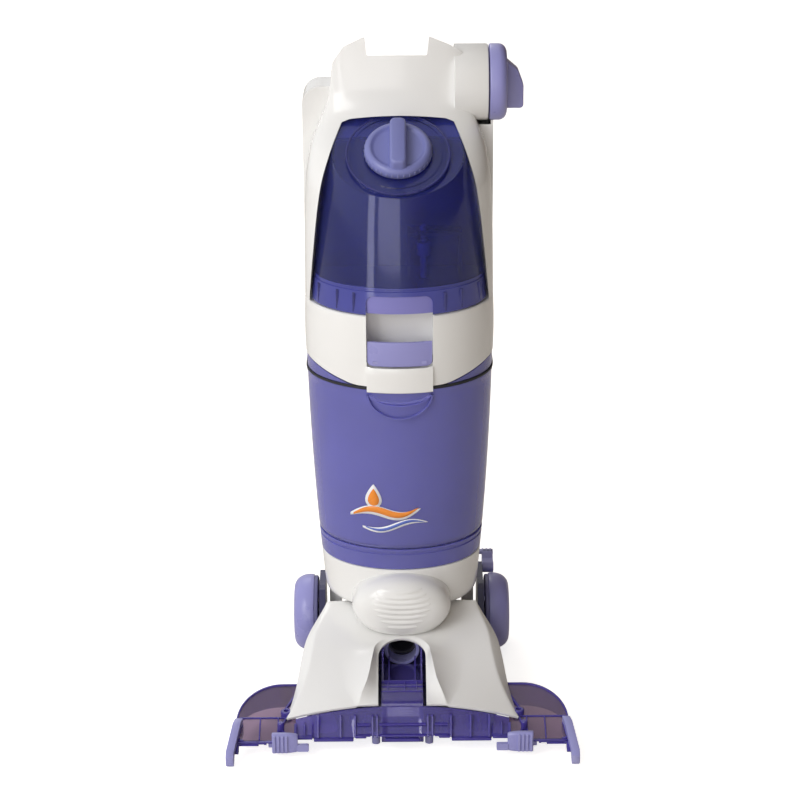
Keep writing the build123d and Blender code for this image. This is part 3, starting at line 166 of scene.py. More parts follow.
# ---- materials -------------------------------------------------------------------------------
def moulded(name, colour, rough, grain=0.15, tint=0.05, coat=0.0, metal=0.0, clear=0.0, edge=0.0,
            speck_scale=900.0):
    """Moulded plastic or similar: cloudy colour, uneven gloss, a fine moulding grain and, where edge is given, a
    painted highlight that lightens convex edges.
    """
    paint = bpy.data.materials.new(name)
    paint.use_nodes = True
    tree = paint.node_tree
    links = tree.links
    shader = tree.nodes["Principled BSDF"]
    coords = add_node(tree, "TexCoord")

    def noise(scale, detail):
        made = add_node(tree, "TexNoise", Scale=scale, Detail=detail)
        links.new(coords.outputs["Object"], made.inputs["Vector"])
        return made.outputs["Fac"]

    clouds = noise(9.0, 3.0)
    smears = noise(38.0, 5.0)
    blend = add_node(tree, "Mix")
    blend.data_type = "RGBA"
    low = [c * (1.0 - tint) for c in colour]
    high = [min(1.0, c * (1.0 + tint)) for c in colour]
    blend.inputs["A"].default_value = (*low, 1)
    blend.inputs["B"].default_value = (*high, 1)
    links.new(clouds, blend.inputs["Factor"])
    colour_out = blend.outputs["Result"]
    # painted highlight: convex edges, found by pointiness, are mixed towards a lighter colour by up to the edge
    # amount
    if edge:
        edge_pointiness = add_node(tree, "NewGeometry")
        band = add_node(tree, "MapRange", From_Min=0.52, From_Max=0.62, To_Max=edge)
        edge_highlight_mix = add_node(tree, "Mix")
        edge_highlight_mix.data_type = "RGBA"
        edge_highlight_mix.inputs["B"].default_value = (*[min(1.0, c * 0.55 + 0.42) for c in colour], 1)
        links.new(edge_pointiness.outputs["Pointiness"], band.inputs["Value"])
        links.new(band.outputs["Result"], edge_highlight_mix.inputs["Factor"])
        links.new(colour_out, edge_highlight_mix.inputs["A"])
        colour_out = edge_highlight_mix.outputs["Result"]
    links.new(colour_out, shader.inputs["Base Color"])
    gloss = add_node(tree, "MapRange", From_Min=0.3, From_Max=0.7, To_Min=max(0.02, rough * 0.75),
                     To_Max=min(1.0, rough * 1.3))
    links.new(smears, gloss.inputs["Value"])
    links.new(gloss.outputs["Result"], shader.inputs["Roughness"])
    if grain:
        bump = add_node(tree, "Bump", Strength=grain, Distance=0.0002)
        links.new(noise(speck_scale, 2.0), bump.inputs["Height"])
        links.new(bump.outputs["Normal"], shader.inputs["Normal"])
    for socket, value in (("Metallic", metal), ("Coat Weight", coat), ("Coat Roughness", 0.06),
                          ("Transmission Weight", clear), ("IOR", 1.47)):
        shader.inputs[socket].default_value = value
    return paint


WHITE = moulded("ivory_gloss", (0.84, 0.835, 0.82), 0.2, grain=0.05, tint=0.015, coat=0.3, edge=0.15)
TRIM = moulded("lavender_satin", (0.295, 0.29, 0.60), 0.33, grain=0.25, tint=0.05, coat=0.1, edge=0.25)
TRIM_DARK = moulded("lavender_shade", (0.16, 0.155, 0.32), 0.45, grain=0.3, tint=0.06)
# the cap's lavender: bluer than the trim, and darkened as painted shade for the cap's up-facing top
TRIM_CAP_SHADED = moulded("lavender_cap_painted_shade", (0.185, 0.20, 0.47), 0.36, grain=0.2, tint=0.05, coat=0.1, edge=0.2)
TANK_DARK = moulded("violet_clear_deep", (0.17, 0.20, 0.68), 0.07, grain=0, tint=0.05, coat=0.0, clear=0.9)
TANK_BAND = moulded("violet_clear_band", (0.11, 0.12, 0.50), 0.12, grain=0, tint=0.06, coat=0.2, clear=0.4)
TANK_LIGHT = moulded("violet_clear_hazy", (0.29, 0.29, 0.82), 0.2, grain=0, tint=0.12, coat=0.2, clear=0.6)
NOZZLE = moulded("violet_clear_nozzle", (0.47, 0.33, 0.50), 0.08, grain=0, tint=0.08, coat=0.2, clear=0.86)
NOZZLE_BLUE = moulded("violet_clear_window", (0.22, 0.18, 0.68), 0.1, grain=0, tint=0.08, coat=0.2, clear=0.75)
NOZZLE_RIB = moulded("violet_clear_ribs", (0.12, 0.09, 0.52), 0.14, grain=0, tint=0.08, coat=0.2, clear=0.5)
# dark navy of the band's upright ribs, also used as a painted shadow round the filler ring's rim
RIB_BLUE_AND_SHADOW = moulded("rib_blue_and_painted_shadow", (0.03, 0.032, 0.17), 0.25, grain=0.1, tint=0.1, coat=0.2)
PANEL = moulded("lavender_panel", (0.21, 0.20, 0.52), 0.3, grain=0.1, tint=0.05, coat=0.1)
FRAME_DARK = moulded("chassis_violet", (0.025, 0.022, 0.085), 0.3, grain=0.2, tint=0.15, coat=0.1)
INNER = moulded("inner_grey", (0.045, 0.045, 0.06), 0.5, grain=0.3, tint=0.12)
SMOKE = moulded("inner_violet", (0.06, 0.06, 0.20), 0.3, grain=0.1, tint=0.12, clear=0.3)
RUBBER = moulded("black_rubber", (0.018, 0.018, 0.022), 0.62, grain=0.5, tint=0.2, speck_scale=1500)
BRISTLE = moulded("nylon_blue", (0.12, 0.14, 0.38), 0.5, grain=0.5, tint=0.2, speck_scale=2200)
STEEL = moulded("turned_steel", (0.62, 0.62, 0.64), 0.28, grain=0.2, tint=0.05, metal=1.0)
PEARL = moulded("pale_pearl", (0.72, 0.62, 0.76), 0.25, grain=0.08, tint=0.05, coat=0.2)
INK_WHITE = moulded("print_white", (0.88, 0.88, 0.9), 0.3, grain=0.1, tint=0.02)
INK_ORANGE = moulded("print_orange", (0.86, 0.27, 0.03), 0.3, grain=0.1, tint=0.06)
INK_BLUE = moulded("print_blue", (0.10, 0.16, 0.55), 0.3, grain=0.1, tint=0.05)

SLOT_PAINT = {"shell": WHITE, "clear_dark": TANK_DARK, "clear_light": TANK_LIGHT, "clear_nozzle": NOZZLE,
              "trim": TRIM, "frame": FRAME_DARK, "inner": INNER, "rubber": RUBBER, "bristle": BRISTLE,
              "steel": STEEL, "pearl": PEARL}
PAINT_SLOT = {paint.name: slot for slot, paint in SLOT_PAINT.items()}
for like, paints in (("trim", (TRIM_DARK, TRIM_CAP_SHADED)), ("clear_dark", (TANK_BAND, RIB_BLUE_AND_SHADOW, PANEL)),
                     ("clear_light", (INK_WHITE, INK_ORANGE, INK_BLUE)), ("clear_nozzle", (NOZZLE_BLUE, NOZZLE_RIB))):
    PAINT_SLOT.update({paint.name: like for paint in paints})
NODE_SLOT = {part["node"]: part["material_slot"] for part in frame["record"]["subparts"]}
for node, obj in NODES.items():
    for slot in obj.material_slots:
        slot.material = SLOT_PAINT[NODE_SLOT[node]]
for node in ("float_cage", "valve_cage"):
    for slot in NODES[node].material_slots:
        slot.material = SMOKE


# ---- mesh helpers ----------------------------------------------------------------------------
def finish_piece(shape, name, paint, body, stands_for=None, bevel=0.0, smooth=32.0, segments=2):
    """Make an object of a shape given in millimetres, shade it, dress it and put it on its body."""
    mesh = to_mesh(shape) if isinstance(shape, bmesh.types.BMesh) else shape
    mesh.name = name
    mesh.transform(Matrix.Scale(MM, 4))
    mesh.update()
    obj = bpy.data.objects.new(name, mesh)
    scene.collection.objects.link(obj)
    mesh.materials.append(paint)
    for face in mesh.polygons:
        face.use_smooth = True
    mesh.set_sharp_from_angle(angle=math.radians(smooth))
    if bevel:
        add_bevel(obj, bevel, segments, smooth).harden_normals = True
    if body:
        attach(obj, body)
    if stands_for:
        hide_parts(stands_for)
    return obj


def add_bevel(obj, width, segments, angle):
    rounding = obj.modifiers.new("round", "BEVEL")
    rounding.width = width * MM
    rounding.segments = segments
    rounding.limit_method = "ANGLE"
    rounding.angle_limit = math.radians(angle)
    return rounding


def tidy_normals(build):
    bmesh.ops.remove_doubles(build, verts=build.verts, dist=0.002)
    bmesh.ops.recalc_face_normals(build, faces=build.faces)


def to_mesh(build):
    mesh = bpy.data.meshes.new("shape")
    tidy_normals(build)
    build.to_mesh(mesh)
    build.free()
    return mesh


def add_rings(build, rings, closed=True, caps=(True, True)):
    """Skin of quads through rings of points; the end rings are filled when caps say so."""
    rows = [[build.verts.new(p) for p in ring] for ring in rings]
    count = len(rows[0])
    for low, high in zip(rows, rows[1:]):
        for i in range(count if closed else count - 1):
            j = (i + 1) % count
            build.faces.new((low[i], low[j], high[j], high[i]))
    if caps[0]:
        build.faces.new(rows[0])
    if caps[1]:
        build.faces.new(list(reversed(rows[-1])))
    return rows


def add_loop(build, rings):
    """Skin of quads through rings that come back to the first one, with nothing capped."""
    add_rings(build, [*rings, rings[0]], caps=(False, False))


def solid_mesh(rings, closed=True, caps=(True, True)):
    build = bmesh.new()
    add_rings(build, rings, closed, caps)
    return to_mesh(build)


def add_prism(build, points, low, high, axis="y"):
    """Prism of an outline along one axis. Points are (x, z) for y, (y, z) for x and (x, y) for z."""
    place = {"x": lambda p, d: (d, p[0], p[1]), "y": lambda p, d: (p[0], d, p[1]), "z": lambda p, d: (p[0], p[1], d)}
    add_rings(build, [[place[axis](p, d) for p in points] for d in (low, high)])


def prism_mesh(points, low, high, axis="y"):
    build = bmesh.new()
    add_prism(build, points, low, high, axis)
    return to_mesh(build)


def rounded(points, radius, steps=5):
    """Outline with its corners rounded by arcs."""
    result = []
    count = len(points)
    for i in range(count):
        before, here, after = (Vector(points[(i + k) % count]) for k in (-1, 0, 1))
        r = radius[i] if isinstance(radius, (list, tuple)) else radius
        if r <= 0:
            result.append(tuple(here))
            continue
        a, b = (before - here).normalized(), (after - here).normalized()
        half = a.angle(b) / 2
        reach = min(r / math.tan(half), (before - here).length * 0.49, (after - here).length * 0.49)
        r = reach * math.tan(half)
        middle = here + (a + b).normalized() * (r / math.sin(half))
        start, end = here + a * reach - middle, here + b * reach - middle
        turn = start.angle_signed(end)
        for step in range(steps + 1):
            angle = -turn * step / steps
            spun = Matrix.Rotation(angle, 2) @ start
            result.append(tuple(middle + spun))
    return result


def span(side, near, far):
    """Two distances from the middle, on one side (-1 or 1), lower value first."""
    return sorted((side * near, side * far))


def rectangle(x0, x1, z0, z1):
    return [(x0, z0), (x1, z0), (x1, z1), (x0, z1)]


def lathe(profile, origin, axis, steps=64):
    """Rings of a turned piece: profile is (radius, distance along the axis) from the origin."""
    axis = Vector(axis).normalized()
    side = axis.orthogonal().normalized()
    other = axis.cross(side)
    rings = []
    for radius, along in profile:
        ring = []
        for i in range(steps):
            angle = 2 * math.pi * i / steps
            ring.append(Vector(origin) + axis * along + (side * math.cos(angle) + other * math.sin(angle)) * radius)
        rings.append(ring)
    return rings


def boolean(target, tool, operation="DIFFERENCE"):
    """Cut a mesh (in millimetres) with another, or with the solid of some rings, and hand back the result."""
    if isinstance(tool, list):
        tool = solid_mesh(tool)
    one = bpy.data.objects.new("cut_target", target)
    two = bpy.data.objects.new("cut_tool", tool)
    for obj in (one, two):
        scene.collection.objects.link(obj)
    cut = one.modifiers.new("cut", "BOOLEAN")
    cut.operation = operation
    cut.solver = "EXACT"
    cut.object = two
    graph = bpy.context.evaluated_depsgraph_get()
    result = bpy.data.meshes.new_from_object(one.evaluated_get(graph))
    for obj in (one, two):
        bpy.data.objects.remove(obj)
    return result


def between(table, at):
    """Smooth curve through a table of (position, value) rows."""
    if at <= table[0][0]:
        return table[0][1]
    if at >= table[-1][0]:
        return table[-1][1]
    slopes = []
    for i in range(len(table)):
        if i in (0, len(table) - 1):
            a, b = (table[0], table[1]) if i == 0 else (table[-2], table[-1])
            slopes.append((b[1] - a[1]) / (b[0] - a[0]))
            continue
        d0 = (table[i][1] - table[i - 1][1]) / (table[i][0] - table[i - 1][0])
        d1 = (table[i + 1][1] - table[i][1]) / (table[i + 1][0] - table[i][0])
        slopes.append(0.0 if d0 * d1 <= 0 else 2 * d0 * d1 / (d0 + d1))
    for i in range(len(table) - 1):
        (x0, y0), (x1, y1) = table[i], table[i + 1]
        if at <= x1:
            span = x1 - x0
            t = (at - x0) / span
            return ((2 * t ** 3 - 3 * t ** 2 + 1) * y0 + (t ** 3 - 2 * t ** 2 + t) * span * slopes[i]
                    + (-2 * t ** 3 + 3 * t ** 2) * y1 + (t ** 3 - t ** 2) * span * slopes[i + 1])
    return table[-1][1]


# ---- body outline, as in the CAD -------------------------------------------------------------
WAIST_Z, WAIST_HALF, WAIST_FRONT = 408.0, 92.5, -15.0
TAPER, LEAN, SIDE_Y = 1.55e-4, 1.63e-4, 63.0
TANK_BACK, SPINE_Y, WALL = 94.0, 98.0, 2.5


def half_width(z):
    return WAIST_HALF - TAPER * (WAIST_Z - z) ** 2


def front_y(z):
    return WAIST_FRONT + LEAN * (WAIST_Z - z) ** 2


def outline(z, half, front, side, back, corner=6.0, front_steps=56):
    """Plan outline at a height: half ellipse in front, straight sides, rounded rear corners."""
    points = []
    for i in range(front_steps + 1):
        angle = math.pi + math.pi * i / front_steps
        points.append((half * math.cos(angle), side + (side - front) * math.sin(angle)))
    rear = [(half, back), (-half, back)]
    right = [(half, side + (back - corner - side) * k / 3) for k in (1, 2)]
    points += right
    for k in range(6):
        angle = math.pi / 2 * k / 5
        points.append((half - corner + corner * math.cos(angle), back - corner + corner * math.sin(angle)))
    points += [((half - corner) * k, back) for k in (0.5, 0.0, -0.5)]
    for k in range(6):
        angle = math.pi / 2 + math.pi / 2 * k / 5
        points.append((-half + corner + corner * math.cos(angle), back - corner + corner * math.sin(angle)))
    points += [(-x, y) for x, y in reversed(right)]
    return [(x, y, z) for x, y in points]


def body_ring(z, inset=0.0, back=TANK_BACK, corner=6.0, level=None):
    """Ring of the body's own outline, drawn in by an inset; level is the height it is taken at."""
    at = z if level is None else level
    return outline(z, half_width(at) - inset, front_y(at) + inset, SIDE_Y, back - inset, corner)


def front_at(x, z, out=0.0):
    """Y of the body's front surface at a place in front view."""
    half = half_width(z) + out
    depth = SIDE_Y - front_y(z) + out
    return SIDE_Y - depth * math.sqrt(max(0.0, 1.0 - (x / half) ** 2))


def steps(low, high, count):
    return [low + (high - low) * i / (count - 1) for i in range(count)]


# ---- recovery tank ---------------------------------------------------------------------------
def make_recovery_tank():
    outer = [(160.0, 3.0), (161.0, 1.2), (163.0, 0.3), (164.6, 0.0)]
    rings = [body_ring(z, inset) for z, inset in outer]
    rings += [body_ring(z) for z in steps(168, 328.5, 28)]
    rings += [body_ring(330.0, -0.6), body_ring(332.6, -0.6), body_ring(332.6, WALL)]
    rings += [body_ring(z, WALL) for z in steps(328.5, 170, 28)]
    rings += [body_ring(165, WALL + 1), body_ring(163, WALL + 5)]
    build = bmesh.new()
    add_rings(build, rings)
    mesh = to_mesh(build)
    finish_piece(mesh, "recovery_tank_shell", TANK_LIGHT, "recovery_tank", "recovery_tank")

    # foot skirt with the two seam grooves above it
    rings = [body_ring(137.6, 0.6), body_ring(138.4, 0.0)]
    rings += [body_ring(z) for z in steps(141, 153, 4)]
    rings += [body_ring(154, 0.0), body_ring(154.5, 1.0), body_ring(156.0, 1.0), body_ring(156.5, 0.0),
              body_ring(159.2, 0.0), body_ring(159.7, 0.8), body_ring(159.7, WALL)]
    rings += [body_ring(z, WALL) for z in (150.0, 144.0, 137.6)]
    build = bmesh.new()
    add_loop(build, rings)
    finish_piece(build, "tank_foot_skirt", TANK_LIGHT, "recovery_tank", "tank_foot")

    seal = [body_ring(z, inset) for z, inset in ((332.8, WALL + 1), (332.8, -0.7), (333.2, -1.1), (335.0, -1.1),
                                                 (335.4, -0.7), (335.4, WALL + 1))]
    seal = solid_mesh(seal + [seal[0]], caps=(False, False))
    finish_piece(seal, "tank_seal_ring", RUBBER, "recovery_tank", "tank_seal")

    # rounded finger lip under the collar's tab, with a shallower curve inside it
    build = bmesh.new()
    for half, deep, out in ((31.5, 25.0, 3.4), (30.0, 12.0, 2.2), (30.0, 9.0, 2.2)):
        rings = []
        for angle in steps(math.pi, 2 * math.pi, 41):
            x, z = half * math.cos(angle), 329.0 + deep * math.sin(angle)
            normal = Vector((math.cos(angle) / half, math.sin(angle) / deep)).normalized()
            ring = []
            for offset, proud in ((-1.2, -1.5), (-1.2, out - 1.2), (-0.7, out), (0.7, out), (1.2, out - 1.2),
                                  (1.2, -1.5)):
                px, pz = x + normal.x * offset, min(z + normal.y * offset, 327.4)
                ring.append((px, front_at(px, pz) - proud, pz))
            rings.append(ring)
        add_rings(build, rings)
    finish_piece(build, "finger_lip", TANK_LIGHT, "recovery_tank")


def make_tank_print():
    """Plain printed decoration on the tank's front: a water drop over swept wave stripes."""
    def film(name, rows, paint, out):
        rings = [[(x, front_at(x, z) - out, z) for x, z in row] for row in rows]
        mesh = solid_mesh(rings, closed=False, caps=(False, False))
        obj = finish_piece(mesh, name, paint, "recovery_tank")
        skin = obj.modifiers.new("film", "SOLIDIFY")
        skin.thickness = 0.18 * MM

    def wave(name, x0, x1, z0, lift, sway, thick, paint, out):
        rows = []
        for i in range(41):
            t = i / 40
            x = x0 + (x1 - x0) * t
            z = z0 + lift * t + sway * math.sin(2 * math.pi * t)
            swell = thick * math.sin(math.pi * min(1.0, t * 0.95 + 0.05)) ** 0.7
            rows.append([(x, z - swell), (x, z), (x, z + swell)])
        film(name, rows, paint, out)

    wave("print_wave_back", -50, 20, 196, 10, 5.0, 5.4, INK_WHITE, 0.25)
    wave("print_wave_orange", -47, 18, 197, 10, 5.0, 3.6, INK_ORANGE, 0.5)
    wave("print_wave_low", -38, 27, 184, 6, -3.6, 3.4, INK_WHITE, 0.25)
    wave("print_wave_blue", -35, 24, 184.3, 6, -3.6, 1.7, INK_BLUE, 0.5)
    rows = []
    for i in range(25):
        t = i / 24
        z = 206 + 26 * t
        wide = 8.2 * math.sin(math.pi * min(1.0, t ** 0.62)) ** 0.85 if t < 1 else 0.0
        rows.append([(-27 - wide, z), (-27, z), (-27 + wide, z)])
    film("print_drop", rows, INK_WHITE, 0.3)
    rows = [[(-27 + (x + 27) * 0.68, 208.4 + (z - 206) * 0.72) for x, z in row] for row in rows]
    film("print_drop_inner", rows, INK_ORANGE, 0.55)


# ---- lid, collar -----------------------------------------------------------------------------
SMILE = ((0.0, 335.6), (41.0, 336.2), (61.0, 340.9), (78.0, 346.4), (92.0, 350.4), (110.0, 352.0))
RECESS_HALF, RECESS_Z, RECESS_BACK = 32.0, 356.0, 11.0
COLLAR_BACK = SPINE_Y - 3.1


def smile_line(low, high, count, gap=0.0):
    return [(x, between(SMILE, abs(x)) - gap) for x in steps(low, high, count)]


def below_smile(gap):
    """Front-view outline of all that lies a gap below the collar's lower edge."""
    return [(-110, 300.0)] + smile_line(-110, 110, 45, gap) + [(110, 300.0)]


def make_lid():
    rings = [body_ring(328.0, 4.6), body_ring(335.5, 4.6), body_ring(335.5, 0.4), body_ring(336.1, 0.0)]
    rings += [body_ring(z) for z in steps(337.5, 353, 8)]
    rings += [body_ring(353, WALL)] + [body_ring(z, WALL) for z in steps(350, 337.2, 5)]
    rings += [body_ring(336.9, 7.0), body_ring(332.0, 7.0)]
    mesh = solid_mesh(rings)
    above = prism_mesh([(-120, 400)] + below_smile(1.4)[1:-1] + [(120, 400)], -60, 120)
    mesh = boolean(mesh, above)
    groove = prism_mesh(rectangle(-33.5, 33.5, 331.4, 345), -60, -5)
    mesh = boolean(mesh, groove)
    build = bmesh.new()
    build.from_mesh(mesh)
    add_rings(build, [body_ring(z, 4.6) for z in (328.4, 317.0)] + [body_ring(z, 7.1) for z in (317.0, 328.4)],
              caps=(False, False))
    add_rings(build, lathe([(9, 0), (9, 83), (6.5, 83), (6.5, 0)], (-62, 47, 246), (0, 0, 1), 32),
              caps=(False, False))
    finish_piece(build, "tank_lid_shell", TANK_LIGHT, "recovery_tank", "tank_lid", bevel=0.5)


def make_collar():
    def swell(z):
        return 0.9 * math.sin(math.pi * min(1.0, max(0.0, (z - 335) / 73.0)))
    levels = steps(328, 404.5, 22)
    rings = [body_ring(z, -swell(z), back=COLLAR_BACK) for z in levels]
    rings += [body_ring(407, 0.4, back=COLLAR_BACK), body_ring(WAIST_Z, 1.6, back=COLLAR_BACK)]
    mesh = solid_mesh(rings)
    core = [body_ring(z, 3.0, back=COLLAR_BACK) for z in [300.0] + steps(328, 404.5, 16)]
    mesh = boolean(mesh, core)
    # pocket walls, proud tab, then the recess and the curved lower edge
    pocket = prism_mesh(rounded(rectangle(-35, 35, 352.6, 404.8), 5), -9, 14)
    mesh = boolean(mesh, pocket, "UNION")
    tab_rings = []
    for z, proud in ((330.8, 2.4), (331.5, 3.0), (336.0, 3.2), (348.0, 3.2), (353.6, 2.9), (356.8, 1.6)):
        front = [(x, front_at(x, z, proud), z) for x in steps(-32, 32, 17)]
        tab_rings.append(front + [(32, -6.5, z), (-32, -6.5, z)])
    mesh = boolean(mesh, solid_mesh(tab_rings), "UNION")
    smile = prism_mesh(below_smile(0.0), -5.5, 120)
    left = prism_mesh([(-110, 300)] + smile_line(-110, -32.05, 17) + [(-32.05, 300)], -60, 120)
    right = prism_mesh([(32.05, 300)] + smile_line(32.05, 110, 17) + [(110, 300)], -60, 120)
    under = [[(x, front_at(x, 333.0, 1.5), z) for x in steps(-40, 40, 17)] + [(40, -5.4, z), (-40, -5.4, z)]
             for z in (300.0, 335.7)]
    under = solid_mesh(under)
    for tool in (smile, left, right, under):
        mesh = boolean(mesh, tool)
    recess = prism_mesh(rounded(rectangle(-RECESS_HALF, RECESS_HALF, RECESS_Z, 425), [6, 6, 0, 0], 6), -40,
                        RECESS_BACK)
    mesh = boolean(mesh, recess)
    seat = [[(x, front_at(x, 354.0, 0.9), z) for x in steps(-31.7, 31.7, 17)] + [(31.7, -6.4, z), (-31.7, -6.4, z)]
            for z in (352.8, 366.0)]
    mesh = boolean(mesh, seat)
    mesh = boolean(mesh, prism_mesh(rectangle(-9, 9, 350, 358), 2.9, 7.1))
    finish_piece(mesh, "collar_shell", WHITE, "body", "mid_housing", bevel=0.9, segments=3)


def make_button():
    across = [-31.3, -31.0, -30.2] + steps(-29, 29, 21) + [30.2, 31.0, 31.3]
    rings = []
    for x in across:
        face, near = front_at(x, 368) + 0.6, max(0.0, abs(x) - 26.3)
        low = 356.9 + 5.0 - math.sqrt(25.0 - near ** 2)
        rear = min(face + 4.0, -6.9)
        plate = rounded([(face, low), (rear, low), (rear, 381.6), (face + 0.3, 381.6)], [1.0, 0.4, 0.8, 1.4], 5)
        rings.append([(x, y, z) for y, z in plate])
    build = bmesh.new()
    add_rings(build, rings)
    add_prism(build, rectangle(-12.0, 8.0, 359.8, 362.4), -26, 26, "x")
    add_prism(build, rectangle(3, 7, 341, 363), -8.9, 8.9, "x")
    finish_piece(build, "latch_button", TRIM, "tank_latch", "tank_latch_button", bevel=0.4)


# ---- clean tank ------------------------------------------------------------------------------
OPENING = ((409.0, 87.4), (460.0, 82.6), (524.0, 74.4), (553.0, 65.5), (583.0, 51.0))
OPENING_TOP = 583.0
VALVE_AT = (23.5, 35.0)
SLOPE = math.radians(35.0)
RING_AT = Vector((0.0, 40.0, 551.0))
UP_SLOPE = Vector((0.0, math.cos(SLOPE), math.sin(SLOPE)))
OUT_SLOPE = Vector((0.0, -math.sin(SLOPE), math.cos(SLOPE)))


def clean_ring(z, inset=0.0):
    share = (z - WAIST_Z) / 114.0
    half = between(OPENING, z) - 0.9 - inset
    return outline(z, half, -17.0 + 15.0 * share + inset, 54.0, 62.0 - inset, 3.0)


def tilt_block(raise_by):
    """Block above the tank's sloping top."""
    origin = RING_AT + OUT_SLOPE * raise_by
    rings = []
    for lift in (0.0, 150.0):
        rings.append([origin + Vector((1, 0, 0)) * a * 140 + UP_SLOPE * b * 140 + OUT_SLOPE * lift
                      for a, b in ((-1, -1), (1, -1), (1, 1), (-1, 1))])
    return solid_mesh(rings)


def make_clean_tank():
    body = solid_mesh([clean_ring(z) for z in steps(436.2, 584, 34)])
    body = boolean(body, tilt_block(0.0))
    core = solid_mesh([clean_ring(z, WALL) for z in steps(430, 584, 34)])
    core = boolean(core, tilt_block(-WALL))
    body = boolean(body, core)
    roof_line = [(60.0, 551.0 + 20.0 * math.tan(SLOPE)), (82.0, 551.0 + 42.0 * math.tan(SLOPE))]
    roof_line += [(82.0, roof_line[1][1] - 3.2), (60.0, roof_line[0][1] - 3.2)]
    roof_fit = [outline(z, between(OPENING, z) - 0.9, 20.0, 60.0, 83.0, 2.0) for z in steps(550, 585, 18)]
    roof = boolean(prism_mesh(roof_line, -90, 90, "x"), solid_mesh(roof_fit), "INTERSECT")
    body = boolean(body, roof, "UNION")
    ring = solid_mesh(lathe([(49.5, -0.6), (49.5, 3.4), (48.7, 4.2), (45.5, 4.2), (44.9, 3.5), (42.6, 3.5),
                                     (42.0, 4.2), (33.5, 4.2), (33.0, 3.0), (28.0, 3.0), (27.0, 4.0), (27.0, 11.0),
                                     (24.0, 11.0)], RING_AT, OUT_SLOPE, 96))
    body = boolean(body, ring, "UNION")
    hole = solid_mesh(lathe([(24.0, -8), (24.0, 20)], RING_AT, OUT_SLOPE, 96))
    body = boolean(body, hole)
    finish_piece(body, "clean_tank_shell", TANK_DARK, "clean_tank", "clean_tank", bevel=1.2, segments=3)

    # painted shadow: a dark band round the filler ring's rim, for the shaded ledge where the raised ring overhangs
    # the tank's front
    line = [(49.2, 3.0), (50.0, 3.2), (50.0, 4.3), (49.2, 4.6), (48.4, 4.4), (48.4, 3.4)]
    line = lathe(line + [line[0]], RING_AT, OUT_SLOPE, 96)
    finish_piece(solid_mesh(line, caps=(False, False)), "filler_ring_painted_shadow", RIB_BLUE_AND_SHADOW, "clean_tank")

    # lower band with its groove, upright ribs and the notch over the finger recess
    rings = [clean_ring(409.4, 0.8), clean_ring(410.2, 0.0)] + [clean_ring(z) for z in steps(413, 431, 5)]
    rings += [clean_ring(432, 0.0), clean_ring(432.5, 1.0), clean_ring(434.2, 1.0), clean_ring(434.7, 0.0),
              clean_ring(436.0, 0.0)]
    band = solid_mesh(rings)
    band = boolean(band, [clean_ring(z, 3.0) for z in (412.4, 420, 428, 440)])
    notch = prism_mesh(rounded([(-32, 400), (32, 400), (32, 428), (-32, 428)], [0, 0, 8, 8], 6), -30, -4)
    band = boolean(band, notch)
    build = bmesh.new()
    build.from_mesh(band)
    add_rings(build, lathe([(7, 0), (7, 20), (3.05, 20), (3.05, 0)], (*VALVE_AT, 412), (0, 0, 1), 32),
              caps=(False, False))
    finish_piece(build, "clean_tank_band", TANK_BAND, "clean_tank", "clean_tank_base", bevel=0.7)

    def band_front(x):
        return 54.0 - 69.4 * math.sqrt(1 - (x / (between(OPENING, 422) - 0.9)) ** 2)

    build = bmesh.new()
    for x in (-77.5, -59.5, -43.5, 43.5, 59.5, 77.5):
        add_prism(build, rectangle(x - 1.2, x + 1.2, 411, 430), band_front(x) - 1.0, band_front(x) + 3)
    finish_piece(build, "clean_tank_ribs", RIB_BLUE_AND_SHADOW, "clean_tank", bevel=0.4)
    rings = []
    for x in steps(-33, 33, 23):
        y = band_front(x)
        rings.append([(x, y + 2.0, 410.4), (x, y + 4.0, 410.4), (x, y + 4.0, 430.0), (x, y + 2.0, 430.0)])
    finish_piece(solid_mesh(rings), "clean_tank_panel", PANEL, "clean_tank", bevel=0.3)


def make_valve_spring():
    """Coil between the plunger's head and the cage roof."""
    radius, wire, low, high, turns, sides = 4.2, 0.5, 468.6, 476.4, 3.3, 8
    rings = []
    for i in range(100):
        t = i / 99
        angle = 2 * math.pi * turns * t
        out = Vector((math.cos(angle), math.sin(angle), 0))
        centre = Vector((*VALVE_AT, low + (high - low) * t)) + out * radius
        rings.append([centre + out * wire * math.cos(2 * math.pi * k / sides)
                      + Vector((0, 0, wire * math.sin(2 * math.pi * k / sides))) for k in range(sides)])
    spring = finish_piece(solid_mesh(rings), "valve_spring_coil", STEEL, "clean_tank", "valve_spring")
    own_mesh(spring)


